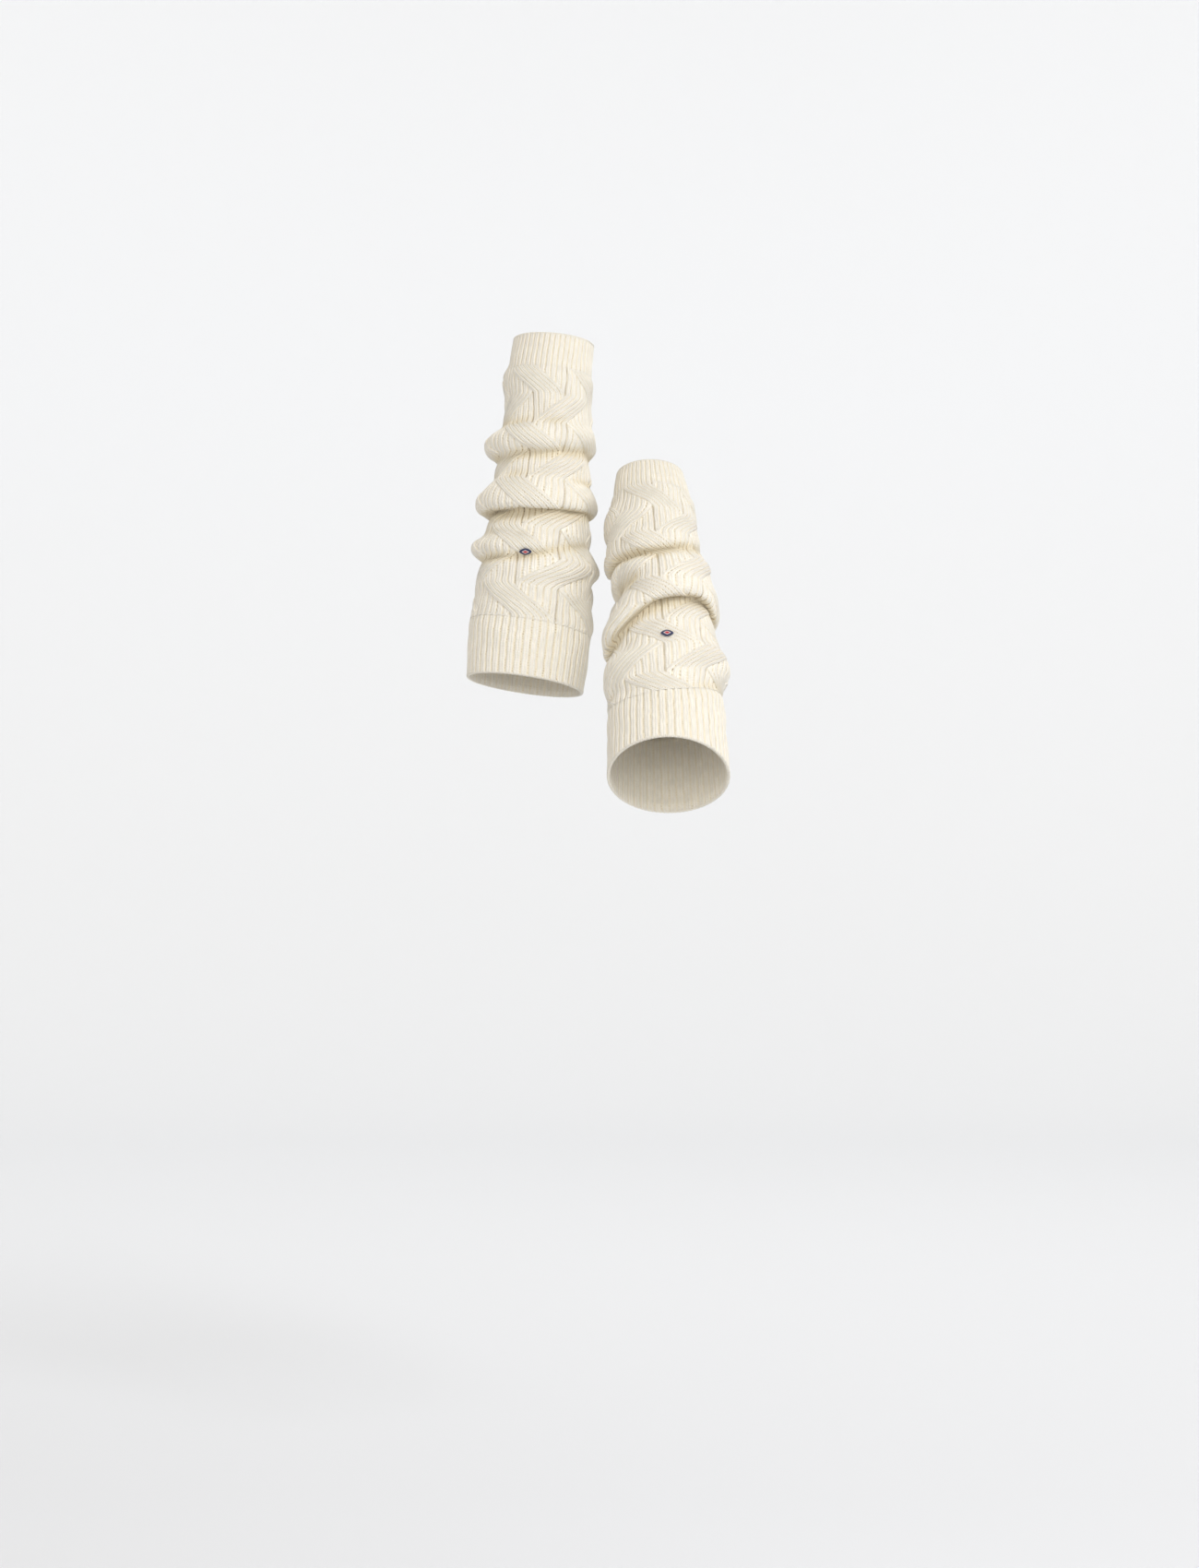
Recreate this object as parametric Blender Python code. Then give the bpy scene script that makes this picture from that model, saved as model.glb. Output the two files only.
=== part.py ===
"""Pair of chunky cable-knit leg warmers in the form they take when worn, ankle ends up.

Each leg warmer is a hollow knitted tube: a ribbed ankle cuff, a slouched body with a basket
cable, a ribbed knee cuff and a small embroidered emblem on the front. The body is made in three
lengths that meet in its two deepest creases, so that each stays a simple open ring. The wall of
each piece runs between a plain inside and an outside that carries the ribs or the cable strands.

Frame: metres, +Z up, the viewer stands at -Y, +X is the viewer's right. The origin is halfway
between the middles of the two knee openings, where the wearer's legs enter.
The tables are in millimetres, and MM brings them to metres.
"""
import bmesh
import bpy
import math
import numpy as np
from collections import namedtuple

MM = 0.001

# Cloth
WALL = 2.4 * MM
# Gaps down the tube in millimetres, wider in a crease, where the two outsides lean together
SEAM_GAP = 0.4
CREASE_GAP = 1.4
PAD_GAP = 0.3 * MM
RIB_HEIGHT = 1.1 * MM
RIBS = 48

# Basket cable: eight strands, four that travel right on the way down and four that travel left
STRANDS = 8
STRAND_ARC = 2 * math.pi / STRANDS
OVER_LENGTH = 0.56
UNDER_LENGTH = 0.30
STRAND_LIFT = 1.1 * MM
STRAND_CROWN = 0.9 * MM
CABLE_FLOOR = -0.9 * MM

# Facets
BODY_COLUMNS = 64
BODY_ROWS = {"upper_body": 15, "middle_body": 12, "lower_body": 15}
CUFF_COLUMNS = 2 * RIBS
CUFF_ROWS = 2
INSIDE_SHARE = 4
TURN_WEIGHT = 26 * MM

# A fold sags most this share of its lower reach below its crest, so that its edge stays round.
SAG_SHIFT = 0.38
# In a crease the outside is pressed down to this share of the room that the cloth leaves there,
# found on a fine grid of rows.
CREASE_SHARE = 0.8
WIDEST_ROOM = 0.1
FINE_ROWS = 301
CREASE_ROWS = 60

# Samples down and round the body that its cloth is measured with
LENGTH_ROWS = 801
LENGTH_COLUMNS = 24

# Emblem: two facets wide, one tall, a stitched pad
EMBLEM_THICKNESS = 0.9 * MM
EMBLEM_INSET = 0.12

CREAM = (0.88, 0.84, 0.72, 1.0)
NAVY = (0.02, 0.03, 0.10, 1.0)
WOOL_ROUGHNESS = 0.9

Station = namedtuple("Station", "x y z half_width half_depth")
Fold = namedtuple("Fold", "name at_left at_front at_right at_back out_left out_front out_right out_back "
                          "sag_left sag_front sag_right sag_back above below")
Ring = namedtuple("Ring", "left front right back")
Warmer = namedtuple("Warmer", "name pitch roll_top roll_bottom stations folds ankle_rim ankle_seam "
                              "upper_crease lower_crease knee_seam knee_rim "
                              "first_crossing last_crossing periods cable_turn emblem_down emblem_turn")

# Stations: middle of the tube and the half sizes of its wall's middle, from ankle rim to knee rim.
# Rings: how far down the tube, in mm, an edge lies at the left, front, right and back.
# Folds: where the crest lies down the tube, how far it stands out (or in, when negative),
# how far it sags over itself, and how far it reaches above and below the crest.
STRAIGHT = Warmer(
    name="straight", pitch=6.8, roll_top=5.0, roll_bottom=8.4,
    stations=(
        Station(-38.1, 99.7, 357.9, 35.6, 36.2),
        Station(-42.3, 96.2, 326.2, 37.0, 38.2),
        Station(-44.1, 90.5, 274.0, 38.3, 40.2),
        Station(-48.0, 85.0, 223.6, 42.3, 43.2),
        Station(-53.2, 78.3, 163.3, 47.7, 48.2),
        Station(-56.2, 73.5, 119.3, 52.0, 51.7),
        Station(-60.1, 69.5, 83.0, 54.1, 53.7),
        Station(-64.0, 65.0, 42.2, 51.9, 51.7),
    ),
    folds=(
        Fold("top_puff", 38, 40, 38, 40, 2.5, 2.0, 1.5, 2.0, 0, 0, 0, 0, 7, 14),
        Fold("back_roll", 64, 66, 66, 62, 0, 0, 0.5, 6.0, 0, 0, 0, 3, 11, 9),
        Fold("shelf", 96, 92, 87, 96, 14.5, 7.5, 5.5, 9.0, 7, 5, 3, 6, 6.5, 12),
        Fold("shelf_valley", 118, 109, 105, 117, 0, -3.0, -2.5, -1.0, 0, 0, 0, 0, 7, 7),
        Fold("right_nick", 137, 137, 132, 137, 0, 0, -2.0, 0, 0, 0, 0, 0, 4, 4),
        Fold("skirt", 147, 143.5, 142, 149, 14.0, 9.9, 6.8, 11.0, 12, 14, 7.5, 9, 7, 9.5),
        Fold("skirt_valley", 166, 165, 160, 165, -6.5, -3.5, -2.0, -3.5, 0, 0, 0, 0, 8, 8),
        Fold("left_roll", 196, 198, 190, 196, 9.5, 3.0, 0, 5.5, 3, 1, 0, 2, 7.5, 9),
        Fold("slant_valley", 211, 204, 187, 207, -1.5, -3.5, -1.5, -1, 0, 0, 0, 0, 6, 6),
        Fold("right_roll", 222, 218, 206, 214, 0, 2.0, 7.0, 4.0, 0, 0, 2, 1, 9, 9),
        Fold("low_back", 240, 240, 240, 243, 0, 0, 0, 4.5, 0, 0, 0, 2, 10, 10),
    ),
    ankle_rim=Ring(0, 0, 0, 0), ankle_seam=Ring(31, 31, 30, 31),
    upper_crease=Ring(118, 109, 105, 114), lower_crease=Ring(167, 166, 160, 166),
    knee_seam=Ring(265, 266, 268, 266), knee_rim=Ring(318, 317, 318, 318),
    first_crossing=42, last_crossing=249, periods=4, cable_turn=-20,
    emblem_down=202, emblem_turn=-11,
)
BENT = Warmer(
    name="bent", pitch=31.0, roll_top=0.0, roll_bottom=0.0,
    stations=(
        Station(50.0, 96.2, 234.8, 29.2, 30.2),
        Station(50.9, 87.8, 219.7, 32.7, 33.7),
        Station(52.3, 76.0, 200.0, 36.1, 37.2),
        Station(53.6, 61.0, 172.5, 38.9, 40.2),
        Station(57.4, 35.6, 127.2, 42.3, 43.2),
        Station(60.5, 6.0, 76.2, 46.2, 47.2),
        Station(62.2, -22.6, 27.8, 49.2, 50.2),
        Station(64.0, -65.0, -42.2, 52.3, 52.2),
    ),
    folds=(
        Fold("left_puff", 58, 60, 55, 58, 6.0, 1.0, 0.0, 2.0, 0, 0, 0, 0, 12, 14),
        Fold("back_roll", 84, 84, 80, 76, 0, 0, 0, 7.0, 0, 0, 0, 4, 10, 9),
        Fold("brow", 90, 94, 79, 96, 4.0, 6.0, 1.0, 5.0, 5, 7, 1, 6, 12, 8),
        Fold("brow_valley", 103, 110, 88, 111, -6.0, -4.0, -2.0, -2.0, 0, 0, 0, 0, 8, 8),
        Fold("right_swell", 116, 122, 112, 122, 1.0, 3.0, 5.5, 4.0, 0, 0, 0, 0, 12, 12),
        Fold("left_nick", 134, 134, 130, 134, -12.0, 0.0, -1.0, -1.0, 0, 0, 0, 0, 9, 12),
        Fold("hood", 176, 143, 139, 151, 6.5, 12.5, 8.0, 11.5, 9.5, 17, 11, 9, 14, 9),
        Fold("hood_valley", 195, 166, 157, 169, -3.5, -3.0, -2.5, -2.5, 0, 0, 0, 0, 8, 9),
        Fold("low_nick", 204, 196, 190, 196, -2.0, 0.0, 0.0, -1.0, 0, 0, 0, 0, 6, 6),
        Fold("low_swell", 218, 222, 209, 214, 6.0, 3.5, 9.5, 7.0, 1, 0, 1, 1, 13, 14),
        Fold("cuff_nick", 244, 256, 236, 240, -1.0, -1.0, -2.0, -1.0, 0, 0, 0, 0, 7, 6),
    ),
    ankle_rim=Ring(0, 4, 0, -2), ankle_seam=Ring(28, 32, 30, 30),
    upper_crease=Ring(103, 110, 89, 110), lower_crease=Ring(194, 166, 157, 169),
    knee_seam=Ring(256, 262, 240, 246), knee_rim=Ring(318, 310, 319, 324),
    first_crossing=48, last_crossing=256, periods=4, cable_turn=-2,
    emblem_down=204, emblem_turn=2,
)


def remove_all_objects():
    """Empties the scene that the script runs in."""
    for item in list(bpy.data.objects):
        bpy.data.objects.remove(item, do_unlink=True)


def fabric_material(name, colour):
    """A matt yarn of one colour."""
    material = bpy.data.materials.new(name)
    material.use_nodes = True
    shader = material.node_tree.nodes["Principled BSDF"]
    shader.inputs["Base Color"].default_value = colour
    shader.inputs["Roughness"].default_value = WOOL_ROUGHNESS
    shader.inputs["Metallic"].default_value = 0.0
    material.diffuse_color = colour
    return material


def around(left, front, right, back, angle):
    """A smooth value round the tube that passes through its four named values."""
    return ((left + front + right + back) / 4
            + (front - back) / 2 * np.cos(angle)
            + (right - left) / 2 * np.sin(angle)
            + (front + back - left - right) / 4 * np.cos(2 * angle))


def cubic_rows(at, marks, rows):
    """Rows of a table read between its marks, along a cubic through every row."""
    step = np.diff(marks)
    slope = np.diff(rows, axis=0) / step[:, None]
    inner = (slope[:-1] * step[1:, None] + slope[1:] * step[:-1, None]) / (step[1:] + step[:-1])[:, None]
    tangent = np.vstack([slope[:1], inner, slope[-1:]])
    i = np.clip(np.searchsorted(marks, at) - 1, 0, len(marks) - 2)
    width = step[i][..., None]
    t = ((at - marks[i]) / step[i])[..., None]
    return ((1 + 2 * t) * (1 - t) ** 2 * rows[i] + t * (1 - t) ** 2 * width * tangent[i]
            + t ** 2 * (3 - 2 * t) * rows[i + 1] + t ** 2 * (t - 1) * width * tangent[i + 1])


def bell(distance, above, below):
    """A bell of height 1 with its own reach on each side."""
    return np.exp(-(distance / np.where(distance < 0, above, below)) ** 2)


def cloth_middle(warmer, down, angle):
    """Middle of the cloth, in metres, at places down the tube (mm) and round it (radians)."""
    rows = np.array(warmer.stations)
    marks = np.concatenate([[0.0], np.cumsum(np.linalg.norm(np.diff(rows[:, :3], axis=0), axis=1))])
    row = cubic_rows(down, marks, rows)
    roll = np.radians(np.interp(down, (0, marks[-1]), (warmer.roll_top, warmer.roll_bottom)))
    pitch = math.radians(warmer.pitch)
    flat = np.zeros_like(roll)
    away = np.array([0.0, 1.0, 0.0])
    side = np.stack([np.cos(roll), flat, -np.sin(roll)], axis=-1)
    upright = np.stack([np.sin(roll), flat, np.cos(roll)], axis=-1)
    up = upright * math.cos(pitch) + away * math.sin(pitch)
    back = away * math.cos(pitch) - upright * math.sin(pitch)
    sine, cosine = np.sin(angle)[..., None], np.cos(angle)[..., None]
    point = row[..., :3] + side * sine * row[..., 3:4] - back * cosine * row[..., 4:5]
    outward = side * sine - back * cosine
    for fold in warmer.folds:
        crest = around(fold.at_left, fold.at_front, fold.at_right, fold.at_back, angle)
        out = around(fold.out_left, fold.out_front, fold.out_right, fold.out_back, angle)
        hang = around(fold.sag_left, fold.sag_front, fold.sag_right, fold.sag_back, angle)
        push = bell(down - crest, fold.above, fold.below)
        sag = bell(down - crest - SAG_SHIFT * fold.below, fold.above, fold.below)
        point = point + outward * (out * push)[..., None] - up * (hang * sag)[..., None]
    return point * MM


def place_down(start, end, share, angle):
    """How far down the tube (mm) a share of the way from one ring to another lies."""
    first = around(*start, angle)
    return first + (around(*end, angle) - first) * share


def move_ring(ring, distance):
    """A ring moved down the tube by a distance in mm."""
    return Ring(*(value + distance for value in ring))


def cloth_normal(warmer, start, end, share, angle):
    """Outward unit normals of the cloth's middle, from small steps along and round the tube."""
    step = 0.001
    along = (cloth_middle(warmer, place_down(start, end, share + step, angle), angle)
             - cloth_middle(warmer, place_down(start, end, share - step, angle), angle))
    around_tube = (cloth_middle(warmer, place_down(start, end, share, angle + step), angle + step)
                   - cloth_middle(warmer, place_down(start, end, share, angle - step), angle - step))
    normal = np.cross(along, around_tube)
    return normal / np.linalg.norm(normal, axis=-1, keepdims=True)


def cloth_length(warmer, start, end, angle_row):
    """Shares from ring to ring, the length of cloth to each at every angle, and the turning."""
    share, angle = np.meshgrid(np.linspace(0, 1, LENGTH_ROWS), angle_row, indexing="ij")
    step = np.diff(cloth_middle(warmer, place_down(start, end, share, angle), angle), axis=0)
    length = np.linalg.norm(step, axis=-1)
    heading = step / length[..., None]
    turning = np.arccos(np.clip((heading[1:] * heading[:-1]).sum(-1), -1, 1))
    none = np.zeros((1, len(angle_row)))
    run = np.vstack([none, np.cumsum(length, axis=0)])
    bend = np.vstack([none, none, np.cumsum(turning, axis=0)])
    return share[:, 0], run, bend


def facet_shares(warmer, start, end, angle_row, count):
    """Rows of facets from ring to ring at every angle, closer where the cloth turns."""
    share, run, bend = cloth_length(warmer, start, end, angle_row)
    effort = run + TURN_WEIGHT * bend
    marks = np.linspace(0, 1, count + 1)
    return np.stack([np.interp(marks * column[-1], column, share) for column in effort.T], axis=1)


def cable_phase(warmer, down, angle):
    """Crossings counted down the body: whole numbers where the strands that go right pass over."""
    sample = np.arange(LENGTH_COLUMNS) * 2 * math.pi / LENGTH_COLUMNS
    shares, run, _ = cloth_length(warmer, warmer.ankle_seam, warmer.knee_seam, sample)
    run = run.mean(axis=1)
    top, bottom = warmer.ankle_seam.front, warmer.knee_seam.front
    first = np.interp((warmer.first_crossing - top) / (bottom - top), shares, run)
    last = np.interp((warmer.last_crossing - top) / (bottom - top), shares, run)
    top, bottom = around(*warmer.ankle_seam, angle), around(*warmer.knee_seam, angle)
    share = (down - top) / (bottom - top)
    return (np.interp(share, shares, run) - first) / (last - first) * warmer.periods


def ease(t):
    """A soft step from 0 to 1."""
    t = np.clip(t, 0, 1)
    return t * t * (3 - 2 * t)


def strand_travel(phase):
    """Strand arcs travelled down to a phase: one at each whole crossing, one at each half."""
    whole, part = np.floor(phase + 0.5), phase - np.floor(phase + 0.5)
    over = ease(part / OVER_LENGTH + 0.5)
    under_after = ease((part - 0.5) / UNDER_LENGTH + 0.5)
    under_before = ease((part + 0.5) / UNDER_LENGTH + 0.5) - 1
    return 2 * whole + over + under_after + under_before


def cable_relief(phase, angle):
    """How far the cable stands out from the wall: the highest strand at each place."""
    relief = np.full(np.broadcast(phase, angle).shape, CABLE_FLOOR)
    for index in range(STRANDS):
        goes_right = index % 2 == 0
        own_phase = phase if goes_right else phase - 0.5
        travel = strand_travel(own_phase) * (1 if goes_right else -1)
        middle = (index - 0.5 + travel) * STRAND_ARC
        offset = (angle - middle + math.pi) % (2 * math.pi) - math.pi
        lift = STRAND_LIFT * np.cos(2 * math.pi * own_phase)
        across = np.clip(np.abs(offset) / (STRAND_ARC / 2), 0, 1)
        height = lift + STRAND_CROWN * (1 - across ** 2)
        relief = np.where(across < 1, np.maximum(relief, height), relief)
    return relief


def crease_room(warmer, down, angle_row):
    """Radius of the largest ball that fits against the outside of the cloth at each place."""
    fine = np.linspace(0, 1, FINE_ROWS)
    rows, angle = np.meshgrid(fine, angle_row, indexing="ij")
    start, end = warmer.ankle_seam, warmer.knee_seam
    fine_down = place_down(start, end, rows, angle)
    middle = cloth_middle(warmer, fine_down, angle)
    normal = cloth_normal(warmer, start, end, rows, angle)
    room = np.full(rows.shape, WIDEST_ROOM)
    for apart in range(1, CREASE_ROWS):
        step = middle[apart:] - middle[:-apart]
        span = (step ** 2).sum(-1) / 2
        for near, lean in ((slice(None, -apart), (step * normal[:-apart]).sum(-1)),
                           (slice(apart, None), -(step * normal[apart:]).sum(-1))):
            room[near] = np.minimum(room[near], span / np.maximum(lean, span / WIDEST_ROOM))
    columns = zip(down.T, fine_down.T, room.T)
    return np.stack([np.interp(at, marks, values) for at, marks, values in columns], axis=1)


def wall_mesh(name, outer, inner):
    """A closed wall from an outer and an inner grid of rings, the inner with fewer columns."""
    rows, columns = outer.shape[:2]
    few = inner.shape[1]
    ratio = columns // few
    shift = rows * columns
    faces = []
    for i in range(rows - 1):
        for j in range(columns):
            k = (j + 1) % columns
            faces.append((i * columns + j, (i + 1) * columns + j, (i + 1) * columns + k, i * columns + k))
        for j in range(few):
            k = (j + 1) % few
            faces.append((shift + i * few + j, shift + i * few + k,
                          shift + (i + 1) * few + k, shift + (i + 1) * few + j))
    for i, flip in ((0, False), (rows - 1, True)):
        for j in range(few):
            edge = [i * columns + (ratio * j + m) % columns for m in range(ratio + 1)]
            near, far = shift + i * few + j, shift + i * few + (j + 1) % few
            half = ratio // 2
            fan = [(edge[m], edge[m + 1], near if m < half else far) for m in range(ratio)]
            fan.append((edge[half], far, near))
            faces.extend(face[::-1] if flip else face for face in fan)
    mesh = bpy.data.meshes.new(name)
    points = np.vstack([outer.reshape(-1, 3), inner.reshape(-1, 3)])
    mesh.from_pydata(points.tolist(), [], faces)
    mesh.validate()
    return mesh


def add_object(name, mesh, material, collection):
    """Puts a mesh into the scene as one named piece."""
    mesh.materials.append(material)
    piece = bpy.data.objects.new(name, mesh)
    collection.objects.link(piece)
    return piece


def body_grids(warmer, start, end, count):
    """Outer and inner points of one length of the body, the outer raised along the cable."""
    outer_angle = np.arange(BODY_COLUMNS) * 2 * math.pi / BODY_COLUMNS + math.radians(warmer.emblem_turn)
    grids = []
    for angle_row, outside in ((outer_angle, True), (outer_angle[::INSIDE_SHARE], False)):
        share = facet_shares(warmer, start, end, angle_row, count)
        angle = np.broadcast_to(angle_row, share.shape)
        down = place_down(start, end, share, angle)
        middle = cloth_middle(warmer, down, angle)
        normal = cloth_normal(warmer, start, end, share, angle)
        rise = -WALL / 2
        if outside:
            turned = angle - math.radians(warmer.cable_turn)
            rise = WALL / 2 + cable_relief(cable_phase(warmer, down, angle), turned)
            rise = np.minimum(rise, CREASE_SHARE * crease_room(warmer, down, angle_row))
            rise = rise[..., None]
        grids.append(middle + normal * rise)
    return grids


def cuff_grids(warmer, start, end):
    """Outer and inner points of a cuff's wall, with one raised rib for every second column."""
    share = np.linspace(0, 1, CUFF_ROWS + 1)
    outer_angle = np.arange(CUFF_COLUMNS) * 2 * math.pi / CUFF_COLUMNS + math.radians(warmer.emblem_turn)
    grids = []
    for angle_row, outside in ((outer_angle, True), (outer_angle[::INSIDE_SHARE], False)):
        rows, angle = np.meshgrid(share, angle_row, indexing="ij")
        middle = cloth_middle(warmer, place_down(start, end, rows, angle), angle)
        normal = cloth_normal(warmer, start, end, rows, angle)
        rise = -WALL / 2
        if outside:
            ribs = np.arange(CUFF_COLUMNS) % 2 * RIB_HEIGHT
            rise = (WALL / 2 - RIB_HEIGHT / 2 + ribs)[None, :, None]
        grids.append(middle + normal * rise)
    return grids


def emblem_mesh(warmer, outer):
    """A small pad over two facets of the body's outside, its points moved out from the wall's."""
    angle = math.radians(warmer.emblem_turn)
    place = cloth_middle(warmer, np.array([float(warmer.emblem_down)]), np.array([angle]))[0]
    row = int(np.argmin(np.linalg.norm(outer[:-1, 0] - place, axis=1)))
    patch = np.stack([np.roll(outer, 1, axis=1)[row:row + 2, j] for j in range(3)], axis=1)
    middle = patch.mean(axis=(0, 1))
    normal = np.cross(patch[1, 1] - patch[0, 1], patch[0, 2] - patch[0, 0])
    normal = normal / np.linalg.norm(normal)
    low = middle + (patch - middle) * (1 - EMBLEM_INSET) + normal * PAD_GAP
    low += normal * max(0.0, float(((patch - low + normal * PAD_GAP) @ normal).max()))
    mesh = bpy.data.meshes.new(warmer.name + "_emblem")
    cage = bmesh.new()
    under = [[cage.verts.new(p) for p in line] for line in low]
    over = [[cage.verts.new(p + normal * EMBLEM_THICKNESS) for p in line] for line in low]
    for j in range(2):
        cage.faces.new((under[0][j], under[0][j + 1], under[1][j + 1], under[1][j]))
        cage.faces.new((over[0][j], over[1][j], over[1][j + 1], over[0][j + 1]))
        cage.faces.new((under[0][j], over[0][j], over[0][j + 1], under[0][j + 1]))
        cage.faces.new((under[1][j], under[1][j + 1], over[1][j + 1], over[1][j]))
    cage.faces.new((under[0][0], under[1][0], over[1][0], over[0][0]))
    cage.faces.new((under[0][2], over[0][2], over[1][2], under[1][2]))
    bmesh.ops.recalc_face_normals(cage, faces=cage.faces)
    cage.to_mesh(mesh)
    cage.free()
    return mesh


def build_warmer(warmer, collection):
    """The pieces of one leg warmer, each a hair's breadth from the next."""
    rings = (warmer.ankle_rim, warmer.ankle_seam, warmer.upper_crease, warmer.lower_crease,
             warmer.knee_seam, warmer.knee_rim)
    labels = ("ankle_cuff", "upper_body", "middle_body", "lower_body", "knee_cuff")
    gaps = {warmer.ankle_seam: SEAM_GAP, warmer.knee_seam: SEAM_GAP,
            warmer.upper_crease: CREASE_GAP, warmer.lower_crease: CREASE_GAP}
    for label, first, last in zip(labels, rings[:-1], rings[1:]):
        start = move_ring(first, gaps.get(first, 0) / 2)
        end = move_ring(last, -gaps.get(last, 0) / 2)
        if label in BODY_ROWS:
            outer, inner = body_grids(warmer, start, end, BODY_ROWS[label])
        else:
            outer, inner = cuff_grids(warmer, start, end)
        if label == "lower_body":
            emblem = emblem_mesh(warmer, outer)
        name = f"{warmer.name}_{label}"
        add_object(name, wall_mesh(name, outer, inner), fabric_material(name + "_yarn", CREAM), collection)
    name = warmer.name + "_emblem"
    add_object(name, emblem, fabric_material(name + "_thread", NAVY), collection)


def main():
    remove_all_objects()
    collection = bpy.data.collections.new("leg_warmers")
    bpy.context.scene.collection.children.link(collection)
    for warmer in (STRAIGHT, BENT):
        build_warmer(warmer, collection)


main()
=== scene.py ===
"""A pair of cream cable-knit leg warmers, worn and slouched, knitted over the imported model.

Each leg warmer has a smooth surface that its cloth follows, given by tables of stations and folds.
On it lie a ground tube, the eight strands of a basket cable as rows of raised stitches, a ribbed
cuff at each end, a corded edge at each opening and a small embroidered emblem.
"""
import logging
import math
from dataclasses import dataclass
from enum import Enum
from typing import NamedTuple

import bpy
import numpy as np
from numpy.typing import NDArray
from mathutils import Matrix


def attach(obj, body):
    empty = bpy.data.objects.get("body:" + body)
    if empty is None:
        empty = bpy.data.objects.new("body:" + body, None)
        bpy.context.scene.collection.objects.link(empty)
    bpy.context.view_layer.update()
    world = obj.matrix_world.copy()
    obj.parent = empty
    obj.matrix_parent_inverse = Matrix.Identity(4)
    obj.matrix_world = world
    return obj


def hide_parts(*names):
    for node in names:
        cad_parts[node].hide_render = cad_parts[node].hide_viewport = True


Array = NDArray[np.float64]
Whole = NDArray[np.int64]
Colour = tuple[float, float, float, float]
Place = tuple[float, float, float]

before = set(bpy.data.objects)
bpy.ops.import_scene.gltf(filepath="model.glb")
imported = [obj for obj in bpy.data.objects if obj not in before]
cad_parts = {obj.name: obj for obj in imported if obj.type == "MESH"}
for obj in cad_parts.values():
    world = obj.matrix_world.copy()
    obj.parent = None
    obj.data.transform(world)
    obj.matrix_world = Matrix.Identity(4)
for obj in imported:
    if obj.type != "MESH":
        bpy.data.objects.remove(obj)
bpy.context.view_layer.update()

log = logging.getLogger("leg_warmers")

MM = 0.001
TURN = 2 * math.pi


class Travel(Enum):
    """Which way a cable strand moves round the leg on its way down."""

    RIGHT = 1
    LEFT = -1


class End(Enum):
    """The two ends of a leg warmer."""

    ANKLE = "ankle"
    KNEE = "knee"


class Ring(NamedTuple):
    """A value at the left, front, right and back of the tube."""

    left: float
    front: float
    right: float
    back: float

    def at(self, angle: Array) -> Array:
        """The value at an angle: mean, two first waves and one second wave through the four."""
        return ((self.left + self.front + self.right + self.back) / 4
                + (self.front - self.back) / 2 * np.cos(angle)
                + (self.right - self.left) / 2 * np.sin(angle)
                + (self.front + self.back - self.left - self.right) / 4 * np.cos(2 * angle))


FLAT = Ring(0, 0, 0, 0)


class Station(NamedTuple):
    """Middle of the tube and the half sizes of the cloth there, in mm."""

    x: float
    y: float
    z: float
    half_width: float
    half_depth: float


class Fold(NamedTuple):
    """One fold: where its crest lies, how far it stands out and sags, and its reach, in mm."""

    name: str
    crest: Ring
    out: Ring
    sag: Ring
    above: float
    below: float


@dataclass(frozen=True)
class Pose:
    """The worn form of one leg warmer, in mm and degrees.

    The stations run from the ankle rim to the knee rim. Rings say how far down the tube an edge
    lies. The cable's crossings are counted between two places down the tube.
    """

    name: str
    pitch: float
    roll_top: float
    roll_bottom: float
    stations: tuple[Station, ...]
    folds: tuple[Fold, ...]
    ankle_rim: Ring
    ankle_seam: Ring
    knee_seam: Ring
    knee_rim: Ring
    first_crossing: float
    last_crossing: float
    periods: int
    cable_turn: float
    emblem_down: float
    emblem_turn: float
    body_flat: tuple[float, float]
    ankle_flat: tuple[float, float]
    knee_flat: tuple[float, float]


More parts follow.
